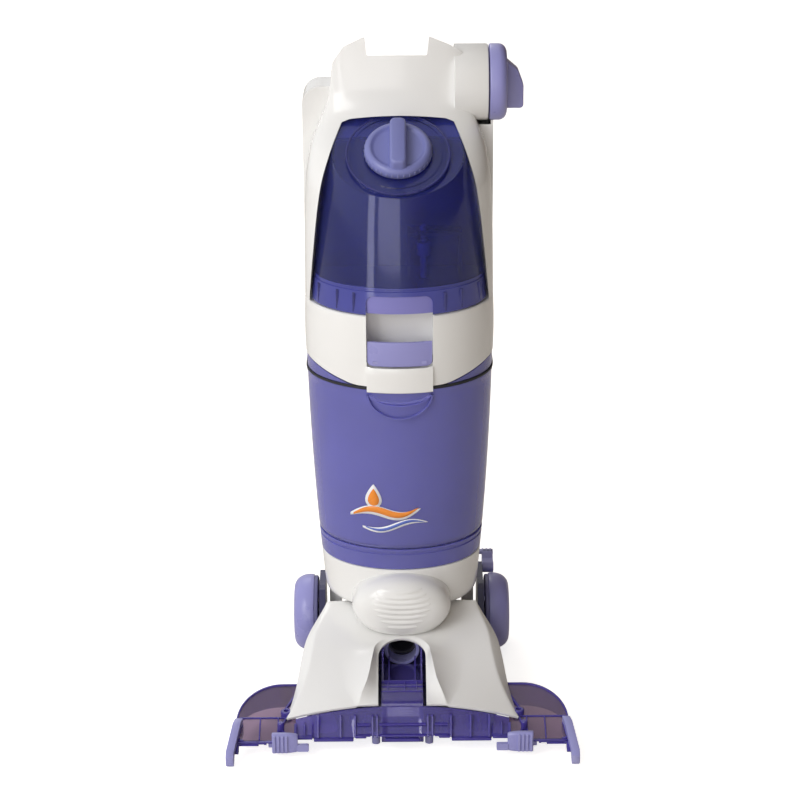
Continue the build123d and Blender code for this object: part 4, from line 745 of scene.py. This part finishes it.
def make_cap():
    profile = [(24.5, 4.6), (31.2, 4.6), (32.0, 5.4), (32.0, 11.4), (31.4, 13.0), (29.8, 14.6), (28.2, 15.4),
               (26.6, 15.6)]
    profile += [(25.4, 15.0), (24.4, 13.8), (22.0, 13.3), (10.0, 13.2), (0.4, 13.2)]
    build = bmesh.new()
    add_rings(build, lathe(profile, RING_AT, OUT_SLOPE, 96), caps=(False, True))
    for i in range(36):
        angle = 2 * math.pi * i / 36
        spot = RING_AT + OUT_SLOPE * 8.3 + (Vector((1, 0, 0)) * math.cos(angle) + UP_SLOPE * math.sin(angle)) * 31.9
        add_rings(build, lathe([(0.2, -2.8), (0.8, -2.2), (0.8, 2.2), (0.2, 2.8)], spot, OUT_SLOPE, 6))
    # straight bar grip along the slope, a little narrower at its flat top
    rings = []
    for lift, draw in ((13.0, 0.0), (14.2, 0.2), (22.6, 1.0), (24.2, 1.3), (25.2, 2.0), (25.6, 3.2)):
        bar = rounded(rectangle(-8.6 + draw, 8.6 - draw, -29 + draw, 29 - draw), 5.5 - draw * 0.5, 6)
        rings.append([RING_AT + Vector((x, 0, 0)) + UP_SLOPE * along + OUT_SLOPE * lift for x, along in bar])
    add_rings(build, rings)
    finish_piece(build, "screw_cap", TRIM_CAP_SHADED, "tank_cap", "tank_cap", smooth=45)


# ---- top housing -----------------------------------------------------------------------------
HOUSING_HALF = ((409, 92.3), (470, 91.5), (522, 89.5), (550, 85), (576, 75), (590, 69), (606, 65.5), (636, 63),
                (660, 61))
HOUSING_FRONT = ((409, -17.5), (470, -10.5), (522, -4), (550, 22), (583, 71), (606, 83), (636, 87.5), (660, 89.5))
HOUSING_SIDE = ((409, 60), (470, 60), (522, 62), (550, 72), (583, 90), (606, 94), (660, 95.3))
KNOB_AT = (0, 113.0, 606.0)
SOCKET_Y = 112.0


def housing_ring(z, inset=0.0, lower=0.0):
    """Ring of the top housing; the inner skin is taken a little lower so the roof keeps its wall."""
    at = z + lower
    back = 97.8 + (1.0 if inset else 0.0)
    return outline(z, between(HOUSING_HALF, at) - inset, between(HOUSING_FRONT, at) + inset * 1.15,
                   between(HOUSING_SIDE, at), back, 2.0)


def make_top_housing():
    mesh = solid_mesh([housing_ring(z) for z in steps(409.2, 658, 64)])
    core = [housing_ring(z, 3.0, 3.0 if z > 500 else 0.0) for z in [400.0] + steps(409.2, 601, 44)]
    mesh = boolean(mesh, core)
    edge = [(OPENING[0][1] + 0.9, 395.0)] + [(between(OPENING, z), z) for z in steps(412, 577, 30)]
    crown = [(x, OPENING_TOP - 3.0 * (x / 46.0) ** 2) for x in steps(46, -46, 13)]
    arch = edge + crown + [(-x, z) for x, z in reversed(edge)]
    mesh = boolean(mesh, prism_mesh(arch, -60, 110))
    # bay wall that the clean tank slides back against
    bay = [(64, 410), (64, 562), (85, 577), (85, 592), (87.5, 592), (87.5, 575), (66.5, 560), (66.5, 410)]
    wall = boolean(prism_mesh(bay, -95, 95, "x"), solid_mesh([housing_ring(z, 1.0) for z in steps(409, 604, 20)]),
                   "INTERSECT")
    mesh = boolean(mesh, wall, "UNION")
    # rear half of the neck, then the two ears and the notch between them are cut out of its top
    block = prism_mesh([(-65.5, 598), (65.5, 598), (63, 636), (61, 658), (-61, 658), (-63, 636)], 94, 140)
    block = boolean(block, prism_mesh(rectangle(-90, 90, 560, 606.3), 97.9, 160))
    mesh = boolean(mesh, block, "UNION")
    ears = rounded([(-72, 604), (-65.6, 616), (-62.5, 633), (-52, 647.5), (-31.5, 656.8), (-29.5, 638), (28.5, 638),
                    (30.5, 656.8), (50, 649), (64, 641), (74, 636), (74, 700), (-74, 700)],
                   [0, 10, 12, 10, 1, 2, 2, 1, 8, 8, 0, 0, 0], 5)
    fall = [[(x, y, z - (y - 88.0) * 0.42) for x, z in ears] for y in (60.0, 160.0)]
    mesh = boolean(mesh, fall)
    hollow = prism_mesh(rounded([(-57, 585), (57, 585), (56, 612), (-56, 612)], [0, 0, 4, 4], 4), 99.5, 136)
    mesh = boolean(mesh, hollow)
    boss = solid_mesh(lathe([(37, 55), (37, 86.2), (36.6, 87.3), (35.6, 87.9)], KNOB_AT, (1, 0, 0), 80))
    mesh = boolean(mesh, boss, "UNION")
    bore = solid_mesh(lathe([(34, 66.5), (34, 85)], KNOB_AT, (1, 0, 0), 80))
    mesh = boolean(mesh, bore)
    mesh = boolean(mesh, lathe([(5.1, 60), (5.1, 95)], KNOB_AT, (1, 0, 0), 32))
    mesh = boolean(mesh, lathe([(20.2, 560), (20.2, 645)], (0, SOCKET_Y, 0), (0, 0, 1), 64))
    sleeve = [(20.0, 552.0), (20.0, 617.5), (19.4, 618.2), (16.6, 618.2), (16.0, 617.5), (16.0, 556.0)]
    finish_piece(solid_mesh(lathe(sleeve, (0, SOCKET_Y, 0), (0, 0, 1), 64)), "handle_socket_sleeve", INNER,
                 "body", "handle_socket", smooth=40)
    finish_piece(mesh, "top_housing_shell", WHITE, "body", "top_housing", bevel=1.1, segments=3)
    # white faces beside it that close the front of the rear shell
    build = bmesh.new()
    add_prism(build, rounded([(-93, 409), (-60, 409), (-60, 604), (-93, 604)], [0, 0, 0, 18], 8), 98.3, 100.5)
    add_prism(build, rectangle(60, 93, 409, 567), 98.3, 100.5)
    finish_piece(build, "rear_shell_faces", WHITE, "body", bevel=0.5)


def make_knob():
    turned = [(5.0, 70.0), (5.0, 89.0), (35.6, 89.0), (36.6, 89.5), (37.0, 90.5), (37.0, 98.0)]
    turned += [(37.0 - 8.0 * (1 - math.cos(a)), 98.0 + 8.0 * math.sin(a)) for a in steps(0.15, math.pi / 2, 8)]
    turned += [(26.0, 106.2), (25.4, 105.6), (23.4, 105.6), (22.8, 106.2), (0.4, 106.4)]
    build = bmesh.new()
    add_rings(build, lathe(turned, KNOB_AT, (1, 0, 0), 96))
    grip = rounded([(103, 581), (122.5, 581), (122.5, 604), (117, 619), (103, 631)], [0, 3.5, 8, 8, 0], 6)
    rings = []
    for y, shrink in ((-8.0, 1.6), (-7.4, 0.5), (-6.0, 0.0), (6.0, 0.0), (7.4, 0.5), (8.0, 1.6)):
        centre = Vector((108, 606))
        ring = []
        for point in grip:
            away = Vector(point) - centre
            spot = centre + away * (1 - shrink / max(6.0, away.length))
            ring.append((max(103, spot.x), KNOB_AT[1] + y, spot.y))
        rings.append(ring)
    add_rings(build, rings)
    finish_piece(build, "mode_knob_shell", TRIM, "mode_knob", "mode_knob", smooth=40)


# ---- lower housing and dome ------------------------------------------------------------------
REAR_LOW = 139.0
AXLE_Y, AXLE_Z = 102.0, 40.0
AXLE_AT = (0, AXLE_Y, AXLE_Z)


def housing_low_ring(z, inset=0.0, corner=12.0):
    return body_ring(z, inset, back=REAR_LOW, corner=corner)


def make_lower_housing():
    rings = [housing_low_ring(z, inset) for z, inset in
             ((89.0, 7.0), (89.6, 4.6), (91.0, 2.6), (93.5, 1.0), (97.0, 0.2))]
    rings += [housing_low_ring(z) for z in steps(101, 134, 8)]
    rings += [housing_low_ring(136.2, 0.2), housing_low_ring(136.8, 0.9)]
    mesh = solid_mesh(rings)
    mesh = boolean(mesh, [housing_low_ring(z, 10.0 if z < 89 else 4.0) for z in (80, 92, 110, 134)])
    mesh = boolean(mesh, lathe([(15.1, 120), (15.1, 150)], (0, 114.2, 0), (0, 0, 1), 40))
    build = bmesh.new()
    build.from_mesh(mesh)
    for side in (-1, 1):
        plate = [(85, 134), (119, 134), (119, 40)]
        plate += [(AXLE_Y + 17 * math.cos(a), AXLE_Z + 17 * math.sin(a)) for a in steps(-0.1, -math.pi + 0.1, 17)]
        plate += [(85, 40)]
        add_prism(build, plate, side * 63, side * 75, "x")
    mesh = to_mesh(build)
    mesh = boolean(mesh, lathe([(4.1, -80), (4.1, 80)], AXLE_AT, (1, 0, 0), 24))
    finish_piece(mesh, "lower_housing_shell", WHITE, "body", "lower_housing", bevel=0.6)


DOME = {"half": 49.5, "high": 33.5, "z": 100.5, "front": -28.0, "back": 30.0}


def dome_y(x, z):
    """Front surface of the dome: nearly flat in the middle, rolling off to its oval edge."""
    r = min(1.0, math.hypot(x / DOME["half"], (z - DOME["z"]) / DOME["high"]))
    return DOME["front"] + 24.0 * (1 - math.sqrt(max(0.0, 1 - r ** 3.8)))


def make_dome():
    rings = []
    for share in (0.0, 0.12, 0.25, 0.4, 0.55, 0.68, 0.78, 0.86, 0.92, 0.96, 0.985, 1.0):
        ring = []
        for i in range(96):
            angle = 2 * math.pi * i / 96
            x = DOME["half"] * share * math.cos(angle)
            z = DOME["z"] + DOME["high"] * share * math.sin(angle)
            ring.append((x, dome_y(x, z), z))
        if share == 0.0:
            ring = [(0.001 * math.cos(2 * math.pi * i / 96), DOME["front"],
                     DOME["z"] + 0.001 * math.sin(2 * math.pi * i / 96))
                    for i in range(96)]
        rings.append(ring)
    rings.append([(x, DOME["back"], z) for x, y, z in rings[-1]])
    mesh = solid_mesh(rings)
    keep_out = solid_mesh([housing_low_ring(z, 1.2) for z in (60, 89, 113, 140)])
    mesh = boolean(mesh, keep_out)
    mesh = boolean(mesh, prism_mesh([(-36, 71.0), (34, 92.5), (34, 30), (-36, 30)], -70, 70, "x"))
    finish_piece(mesh, "front_dome_shell", WHITE, "body", "front_dome", bevel=0.8, smooth=50)
    # arched steps moulded into the face of the dome, longer in the middle rows
    build = bmesh.new()
    for row in range(8):
        z_mid = 85.0 + 5.5 * row
        reach = (15, 21, 25, 28, 29, 28, 25, 20)[row]
        lines = []
        for dz, out in ((-1.6, -0.5), (-1.2, 1.1), (-0.4, 1.35), (3.0, -0.5)):
            line = []
            for x in steps(-reach, reach, 33):
                fade = math.sqrt(max(0.0, 1 - (x / (reach + 0.01)) ** 4))
                z = z_mid + dz * (0.35 + 0.65 * fade) + 3.2 * (x / 27.0) ** 2
                line.append((x, dome_y(x, z) - (out * fade if out > 0 else out), z))
            lines.append(line)
        add_rings(build, [[line[i] for line in lines] for i in range(33)])
    finish_piece(build, "dome_steps", WHITE, "body", smooth=60)


# ---- base cover ------------------------------------------------------------------------------
COVER_MIDDLE = ((-109.0, 44.5), (-72.0, 56.0), (-17.0, 74.5), (31.0, 88.0))
COVER_HALF = ((-109.0, 113.0), (-72.0, 105.6), (-17.0, 97.0), (31.0, 76.0))
COVER_EDGE = ((-109.0, 28.5), (-72.0, 46.0), (-17.0, 72.0), (31.0, 86.5))
SLOT_HALF, SLOT_TURN = 23.5, -48.5
LIP_RIDGE = ((-109.0, 20.5), (-100.0, 16.5), (-85.0, 10.5), (-62.0, 6.5), (-48.0, 4.5))
LIP_OUTER = ((-109.0, 23.0), (-100.0, 26.5), (-85.0, 33.5), (-62.0, 37.5), (-12.0, 42.0))
LIP_RISE = ((-109.0, 0.0), (-100.0, 4.6), (-85.0, 8.6), (-60.0, 9.4), (-45.0, 6.6), (-32.0, 2.6), (-20.0, 0.6),
            (10.0, 0.0))


def flank_width(y):
    return 11.0 * math.sin(math.pi * min(1.0, max(0.0, (y + 109.0) / 140.0))) ** 0.8


def slot_grown(y, grow):
    """Half-width, at a place along the cover, of the slot's outline grown outward."""
    reach = SLOT_HALF + grow
    if y < SLOT_TURN:
        return reach
    return math.sqrt(max(0.0, reach ** 2 - (y - SLOT_TURN) ** 2))


def cover_columns(y):
    half = between(COVER_HALF, y)
    crease = half - max(0.5, flank_width(y))
    outer = min(crease - 1.0, slot_grown(y, between(LIP_OUTER, y)))
    marks = [slot_grown(y, 0.0), max(0.0, min(outer - 1.0, slot_grown(y, between(LIP_RIDGE, y)))), outer, crease,
             half]
    columns = [marks[0]]
    for low, high, count in zip(marks, marks[1:], (12, 16, 14, 10)):
        columns += [low + (high - low) * (i + 1) / count for i in range(count)]
    return columns


def cover_z(x, y, fine=True):
    """Height of the cover at a place in plan: an arch, a raised lip round the slot and side flanks."""
    half, middle, edge = between(COVER_HALF, y), between(COVER_MIDDLE, y), between(COVER_EDGE, y)
    z = edge + (middle - edge) * (1 - (x / half) ** 2)
    if not fine:
        return z
    a = abs(x)
    # lip: distances are from the slot's edge; the ridge fans out to the front edge and fades over the arch
    away = a - SLOT_HALF if y < SLOT_TURN else math.hypot(a, y - SLOT_TURN) - SLOT_HALF
    ridge, outer = between(LIP_RIDGE, y), between(LIP_OUTER, y)
    rise = between(LIP_RISE, y)
    if away < ridge:
        z += rise * max(0.0, away / ridge) ** 1.5
    elif away < outer:
        z += rise * (1 - (away - ridge) / (outer - ridge)) ** 1.8
    flank = flank_width(y)
    if flank > 0.4 and a > half - flank:
        z -= 9.0 * (flank / 11.0) * ((a - half + flank) / flank) ** 1.15
    return z


def make_cover():
    rows = [-109.0, -108.4, -107.0, -104.0] + steps(-100, -52, 17)
    rows += [SLOT_TURN + SLOT_HALF * math.sin(a) for a in steps(0.0, math.pi / 2, 13)] + steps(-23, 31, 19)
    build = bmesh.new()
    for side in (-1, 1):
        grid = [[build.verts.new((side * x, y, cover_z(x, y))) for x in cover_columns(y)] for y in rows]
        for low, high in zip(grid, grid[1:]):
            for i in range(len(low) - 1):
                build.faces.new((low[i], low[i + 1], high[i + 1], high[i]))
    bmesh.ops.remove_doubles(build, verts=build.verts, dist=0.01)
    bmesh.ops.recalc_face_normals(build, faces=build.faces)
    if sum(f.normal.z for f in build.faces) < 0:
        bmesh.ops.reverse_faces(build, faces=build.faces)
    mesh = bpy.data.meshes.new("cover")
    build.to_mesh(mesh)
    build.free()
    obj = finish_piece(mesh, "base_cover_shell", WHITE, "base", "base_cover", smooth=42)
    skin = obj.modifiers.new("wall", "SOLIDIFY")
    skin.thickness = 2.8 * MM
    skin.offset = -1.0
    add_bevel(obj, 0.7, 2, 55)
    build = bmesh.new()
    for side in (-1, 1):
        for y, top in ((20, 76), (-60, 50)):
            add_rings(build, lathe([(5.6, 34), (5.0, 38), (5.0, top), (6.0, top + 3)], (side * 70, y, 0), (0, 0, 1),
                                   24))
    finish_piece(build, "cover_posts", WHITE, "base")


# ---- clear nozzle ----------------------------------------------------------------------------
EAR_X0, EAR_X1 = 104.0, 162.0
EAR_SLOPE = 23.0 / 72.0
WINDOW_FOOT = 123.5


def ear_outline(side, inset=0.0):
    """Plan outline of one ear, from its inner rear corner round the outside to its inner front."""
    points = [(EAR_X0, -61.0 - inset), (EAR_X0 + 14, -61.0 - inset)]
    for k in range(1, 17):
        a = math.pi / 2 * k / 16
        points.append((EAR_X0 + 14 + (44 - inset) * math.sin(a), -61 - inset - (47 - inset) * (1 - math.cos(a))))
    points += [(EAR_X1 - inset, -126.0), (EAR_X1 - inset - 1.8, -131.2 + inset), (EAR_X1 - inset - 7, -133.0 + inset),
               (EAR_X0, -133.0 + inset)]
    return [(side * x, y) for x, y in points]


def ear_top(y):
    return 40.0 + (y + 61.0) * EAR_SLOPE


def front_low(x):
    """Stepped lower edge of the nozzle's front."""
    a = abs(x)
    return 14.0 if a < 17 or 46 < a < 87 else 17.2


def make_nozzle():
    roofs = bmesh.new()
    build = bmesh.new()
    for side in (-1, 1):
        # roof with a raised rim, side walls
        outer = ear_outline(side)
        add_rings(roofs, [[(x, y, ear_top(y) + d) for x, y in outer] for d in (-2.2, 0.0)])
        rim = outer[:-1]
        rim_in = ear_outline(side, 1.8)[:-1]
        for i in range(len(rim) - 1):
            (x0, y0), (x1, y1), (u0, v0), (u1, v1) = rim[i], rim[i + 1], rim_in[i], rim_in[i + 1]
            low0, low1 = (15.0 if y0 > -100 else 12.8), (15.0 if y1 > -100 else 12.8)
            add_rings(build, [[(x0, y0, low0), (u0, v0, low0), (u0, v0, ear_top(y0) + 1.1),
                               (x0, y0, ear_top(y0) + 1.1)],
                              [(x1, y1, low1), (u1, v1, low1), (u1, v1, ear_top(y1) + 1.1),
                               (x1, y1, ear_top(y1) + 1.1)]])
        # front wall: framed panels either side of the latch, stepped along the bottom
        for x0, x1, z0, z1 in ((104, 133, 14.6, 17.3), (104, 106.5, 13, 17), (131.5, 134, 13, 17),
                               (134, 139, 13.6, 17.2),
                               (139, 158, 13.2, 17.2)):
            add_prism(build, rectangle(side * x0, side * x1, z0, z1), -133.2, -131.2)
        for x0, x1, z0, z1 in ((104, 160, 15.8, 17.2), (139, 141, 12.8, 17), (156, 159, 12.8, 17),
                               (139, 158, 12.6, 14.0)):
            add_prism(build, rounded(rectangle(*span(side, x0, x1), z0, z1), 0.5, 2), -134.6, -133.2)
        # ribs standing on the roof: cross rib, and fore-and-aft ribs over the front half
        add_prism(build, rectangle(side * 106, side * 159, ear_top(-104) - 1, ear_top(-104) + 1.3), -104.8, -103.4)
        for x in (121.0, 138.5):
            add_rings(build, [[(side * (x + w), y, ear_top(y) + h) for w,
                               h in ((-0.7, -0.5), (0.7, -0.5), (0.7, 1.4), (-0.7, 1.4))]
                              for y in (-104.0, -131.5)])
        # hinge post and webs beside the cover
        post = (side * 113.5, -99.0, 0)
        add_rings(build, lathe([(5.5, 20), (5.5, ear_top(-99) + 3.4), (4.6, ear_top(-99) + 4.2),
                                (2.6, ear_top(-99) + 4.2),
                                (2.6, ear_top(-99) + 1)], post, (0, 0, 1), 28))
        add_rings(build, lathe([(3.2, 14), (3.2, 29), (2.4, 30)], (side * 118.0, -119.0, 0), (0, 0, 1), 24))
        for y0, x0, y1, x1 in ((-97, 116, -78, 106), (-101, 112, -119, 118), (-119, 118, -131, 110)):
            along = Vector((x1 - x0, y1 - y0, 0)).normalized()
            across = Vector((-along.y, along.x, 0)) * 0.9
            ring = []
            for x, y in ((x0, y0), (x1, y1)):
                z = ear_top(y)
                ring.append([(side * (x + across.x), y + across.y, z - 1),
                             (side * (x - across.x), y - across.y, z - 1),
                             (side * (x - across.x), y - across.y, z + 2.4), (side * (x + across.x), y + across.y,
                                                                              z + 2.4)])
            add_rings(build, ring)
    finish_piece(roofs, "nozzle_ears", NOZZLE, "base", "clear_nozzle", bevel=0.35)
    finish_piece(build, "nozzle_rims", NOZZLE_RIB, "base", bevel=0.35)

    # sloping window under the cover's front edge
    build = bmesh.new()
    xs = steps(-104, 104, 105)
    rings = []
    for x in xs:
        top = min(46.0, cover_z(min(abs(x), 112.5), -109.0, False) - 3.4)
        low = front_low(x)
        line = []
        for share in (0.0, 0.3, 0.42, 0.47, 1.0):
            line.append((x, -109.8 - (WINDOW_FOOT - 109.8) * share - (0.0 if share < 0.45 else 1.1),
                         top + (low - top) * share))
        rings.append(line + [(x, y + 2.0, z) for x, y, z in reversed(line)])
    add_rings(build, rings)
    finish_piece(build, "nozzle_window", NOZZLE_BLUE, "base", bevel=0.3)
    # upright ribs, frames and the ledge along the foot of the window
    build = bmesh.new()
    for x in (-95, -82, -60, -46, -29, -24.6, 24.6, 29, 47, 66, 84, 96):
        tall = 8.0 if abs(x) > 90 else 0.0
        rib = [(-121.8, 16.6), (-126.6, 16.6), (-117.6 - tall * 0.4, 35 - tall), (-113.2, 35 - tall)]
        add_prism(build, rib, x - 0.9, x + 0.9, "x")
    for x0, x1 in ((-22.8, 22.8), (-44, -31), (31, 44)):
        for z0, z1 in ((17.4, 19.0), (27.0, 28.4)):
            y = -110.2 - (46.0 - z0) * 16.4 / 34.0
            add_prism(build, rectangle(x0, x1, z0, z1), y - 2.6, y + 1)
    for side in (-1, 1):
        add_prism(build, rounded(rectangle(*span(side, 35, 46), 16.0, 18.4), 0.8, 2), -127.2, -123)
        add_prism(build, rounded(rectangle(*span(side, 47.5, 86), 13.2, 15.8), 0.8, 2), -128.0, -123)
        add_prism(build, rounded(rectangle(*span(side, 87, 104), 16.2, 18.4), 0.8, 2), -129.0, -123)
        add_prism(build, [(-128, 13), (-132.4, 13), (-132.4, 17), (-116, 27), (-113, 22), (-124, 13)],
                  *span(side, 102.6, 105), "x")
    add_prism(build, rounded(rectangle(-16.5, 16.5, 12.6, 15.4), 0.8, 2), -128.0, -123)
    finish_piece(build, "nozzle_ribs", NOZZLE_RIB, "base", bevel=0.3)


def make_channel():
    """Clear throat of the nozzle in the cover's slot, with its steps and cross ridges."""
    half = SLOT_HALF - 3.1
    outer = [(-122.2, 9), (-122.2, 12), (-106.6, 43.2), (-90, 46), (-68, 46), (-60, 48), (-13, 60), (-13, 34.4),
             (-99.2, 34.4), (-101, 30), (-109, 9)]
    inner = [(-120, 7), (-120, 13), (-105, 40.5), (-89.5, 43.4), (-70, 43.4), (-70, 70), (-12, 70),
             (-12, 37), (-97.5, 37), (-103.5, 28), (-112, 7)]
    mesh = prism_mesh(outer, -half, half, "x")
    mesh = boolean(mesh, prism_mesh(inner, -half + 2.2, half - 2.2, "x"))
    finish_piece(mesh, "throat_shell", NOZZLE_BLUE, "base", "suction_channel", bevel=0.5)
    build = bmesh.new()
    for y, z, tall in ((-69.2, 46.0, 2.2), (-78.0, 45.9, 0.9), (-88.0, 45.9, 0.9)):
        add_prism(build, rounded(rectangle(-half, half, z - 0.6, z + tall), 0.4, 2), y - 0.8, y + 0.8)
    for x in (-14.0, 2.5, 14.0):
        add_prism(build, [(-70, 45.5), (-70, 47.4), (-88, 46.9), (-88, 45.5)], x - 0.6, x + 0.6, "x")
    for x in (-13.0, 13.0):
        add_prism(build, [(-20, 37), (-20, 50), (-68, 44), (-68, 37)], x - 0.7, x + 0.7, "x")
    finish_piece(build, "throat_ridges", NOZZLE_RIB, "base", bevel=0.25)


def bumper_slant(y):
    return -7.0 * min(1.0, max(0.0, (y + 147.0) / 36.0))


def make_bumpers():
    strip = [(-111, 30.6), (-119, 30.6), (-150, 15.4), (-154.8, 11.5), (-154.8, 4.2), (-153.6, 1.6), (-150.4, 1.0),
             (-147.2, 1.6), (-146, 4.2), (-144.6, 9), (-111, 25.4)]
    for side, name in ((-1, "left"), (1, "right")):
        build = bmesh.new()
        centre = Vector((-136, 15))
        rings = []
        for x, shrink in ((162.2, 0.4), (162.6, 0.0), (168.4, 0.0), (169.5, 0.7), (169.9, 2.0)):
            ring = []
            for point in strip:
                away = Vector(point) - centre
                spot = centre + away * (1 - shrink * 0.55 / max(8.0, away.length))
                ring.append((side * (x + bumper_slant(spot.x)), spot.x, spot.y))
            rings.append(ring)
        add_rings(build, rings)
        finish_piece(build, "bumper_strip_" + name, TRIM, "base", "bumper_" + name,
                     bevel=1.4, smooth=28, segments=3)
        # clear web between the ear and the strip
        build = bmesh.new()
        web = [(-112, 24.6), (-112, 12), (-140, 8.5), (-143.4, 9.4), (-119, 24.4)]
        add_rings(build, [[(side * (x + bumper_slant(y)), y, z) for y, z in web] for x in (161.6, 164.6)])
        add_prism(build, [(-134, 15), (-134, 8.8), (-143.4, 8.8), (-144, 10.8)], *span(side, 158, 166), "x")
        finish_piece(build, "bumper_web_" + name, NOZZLE_RIB, "base", bevel=0.3)


def make_latches():
    for side, name in ((-1, "left"), (1, "right")):
        build = bmesh.new()
        body = rounded([(-133.4, 5.4), (-138.2, 6.6), (-138.4, 25.6), (-136.8, 27.2), (-133.4, 27.2)],
                       [0.4, 2, 1.6, 0.6, 0.4], 4)
        rings = []
        for x, drop, draw in ((101.2, 2.2, 1.2), (103.0, 1.2, 0.6), (108.0, 0.3, 0.2), (114, 0, 0), (125.2, 0, 0),
                              (126.0, 0.4, 0.5)):
            rings.append([(side * x, y + (draw if y < -136 else 0.0), z - (drop if z > 15 else -drop * 0.6)) for y,
                          z in body])
        add_rings(build, rings)
        for step in range(4):
            x = 123.8 - 3.9 * step
            add_prism(build, rounded([(-137.8, 6.6), (-139.6, 7.4), (-139.8, 25.2), (-137.8, 26.4)], 0.7, 3),
                      *span(side, x - 1.15, x + 1.15), "x")
        add_prism(build, rounded(rectangle(*span(side, 90.6, 102), 8, 15), 1.2, 3), -138.0, -133.4)
        add_prism(build, rectangle(*span(side, 108, 125), 10.1, 12.9), -133.6, -130.2)
        add_prism(build, rounded(rectangle(*span(side, 107, 130), 8.6, 15), 1, 2), -130.1, -128.6)
        finish_piece(build, "nozzle_latch_shell_" + name, TRIM, "latch_" + name,
                     "nozzle_latch_" + name, bevel=0.5)


def make_wheels():
    for side, name in ((-1, "left"), (1, "right")):
        tyre = [(32.0, 91.2), (38.2, 91.2), (39.4, 91.8), (39.9, 93.2), (40.0, 95.0), (40.0, 96.0)]
        tyre += [(40.0 - 13.2 * (1 - math.cos(a)) ** 1.05, 96.0 + 16.6 * math.sin(a)) for a in steps(0.12,
                                                                                                     math.pi / 2, 14)]
        tyre += [(26.4, 112.7), (25.8, 111.9), (24.2, 111.9), (23.6, 112.6), (13.0, 112.9), (12.2, 112.3),
                 (10.6, 112.3),
                 (10.0, 112.9), (4.1, 112.9), (4.1, 104.0), (32.0, 104.0)]
        build = bmesh.new()
        rings = lathe(tyre, AXLE_AT, (side, 0, 0), 96)
        add_loop(build, rings)
        finish_piece(build, "wheel_shell_" + name, TRIM, "wheel_" + name, "wheel_" + name, smooth=38)
        # darker inner drum with spokes
        drum = [(36.4, 87.2), (38.0, 87.8), (38.4, 89.0), (38.4, 91.3), (34.0, 91.3), (34.0, 103.8), (32.2, 103.8),
                (32.2, 88.0), (33.0, 87.2)]
        build = bmesh.new()
        rings = lathe(drum, AXLE_AT, (side, 0, 0), 96)
        add_loop(build, rings)
        rings = lathe([(4.1, 87.3), (9.4, 87.3), (10.0, 88.0), (10.0, 104.2), (4.1, 104.2)], AXLE_AT, (side, 0, 0),
                      48)
        add_loop(build, rings)
        for k in range(5):
            angle = 2 * math.pi * k / 5
            out, turn = Vector((0, math.cos(angle), math.sin(angle))), Vector((0, -math.sin(angle), math.cos(angle)))
            rings = []
            for r in (9.0, 33.0):
                base = Vector(AXLE_AT) + out * r
                rings.append([base + turn * w + Vector((side * x, 0, 0)) for w,
                              x in ((-1.2, 88.6), (1.2, 88.6), (1.2, 104), (-1.2, 104))])
            add_rings(build, rings)
        finish_piece(build, "wheel_drum_" + name, TRIM_DARK, "wheel_" + name, smooth=38, bevel=0.4)


def make_hose():
    """Corrugated hose from the cuff to the elbow."""
    start, end = Vector((0, 5.0, 53.4)), Vector((0, 80.0, 64.0))
    run = end - start
    count = 15
    profile = []
    for i in range(count * 8 + 1):
        t = i / (count * 8)
        profile.append((13.6 + 0.9 * math.cos(2 * math.pi * count * t), run.length * t))
    profile += [(12.2, run.length), (12.2, 0.0)]
    rings = lathe(profile, start, run.normalized(), 48)
    build = bmesh.new()
    add_loop(build, rings)
    hose = finish_piece(build, "suction_hose_skin", INNER, None, "suction_hose", smooth=60)
    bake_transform(hose)


def make_cuff():
    rings = lathe([(14.4, -6.0), (14.4, 10.0), (17.2, 10.0), (17.2, 2.0), (18.0, 1.2), (18.0, -4.6), (17.2, -5.8),
                   (15.6, -6.0)],
                  (0, -6.0, 53.0), (0, 1, 0), 64)
    build = bmesh.new()
    add_loop(build, rings)
    finish_piece(build, "hose_cuff_ring", TRIM, "base", "hose_cuff", smooth=40)


def make_pedal():
    tread = rounded([(131, 71.5), (138, 69), (152, 67), (155, 69), (155, 85), (152, 88), (146, 88), (141, 82.5),
                     (134, 82)],
                    [1, 1, 1.5, 1.5, 2, 2, 2, 3, 5], 4)
    build = bmesh.new()
    add_prism(build, tread, 86.1, 97.7, "x")
    add_prism(build, rounded([(146.4, 84.2), (154.8, 84.2), (154.8, 86.6), (153, 88), (146.4, 88)], 0.9, 3), 80.4,
              98, "x")
    for k in range(4):
        x = 83.2 + 4.0 * k
        add_prism(build, rounded([(146.6, 87.6), (154.2, 87.6), (153.6, 88.7), (147, 88.7)], 0.4, 2), x - 0.7,
                  x + 0.7, "x")
    add_rings(build, lathe([(6.2, 86.0), (6.2, 97.4), (5.4, 98.0)], (0, 134, 76), (1, 0, 0), 32))
    finish_piece(build, "release_pedal_tread", TRIM, "pedal", "release_pedal", bevel=0.5)


make_recovery_tank()
make_tank_print()
make_lid()
make_collar()
make_button()
make_clean_tank()
make_valve_spring()
make_cap()
make_top_housing()
make_knob()
make_lower_housing()
make_dome()
make_cover()
make_nozzle()
make_channel()
make_bumpers()
make_latches()
make_wheels()
make_hose()
make_cuff()
make_pedal()
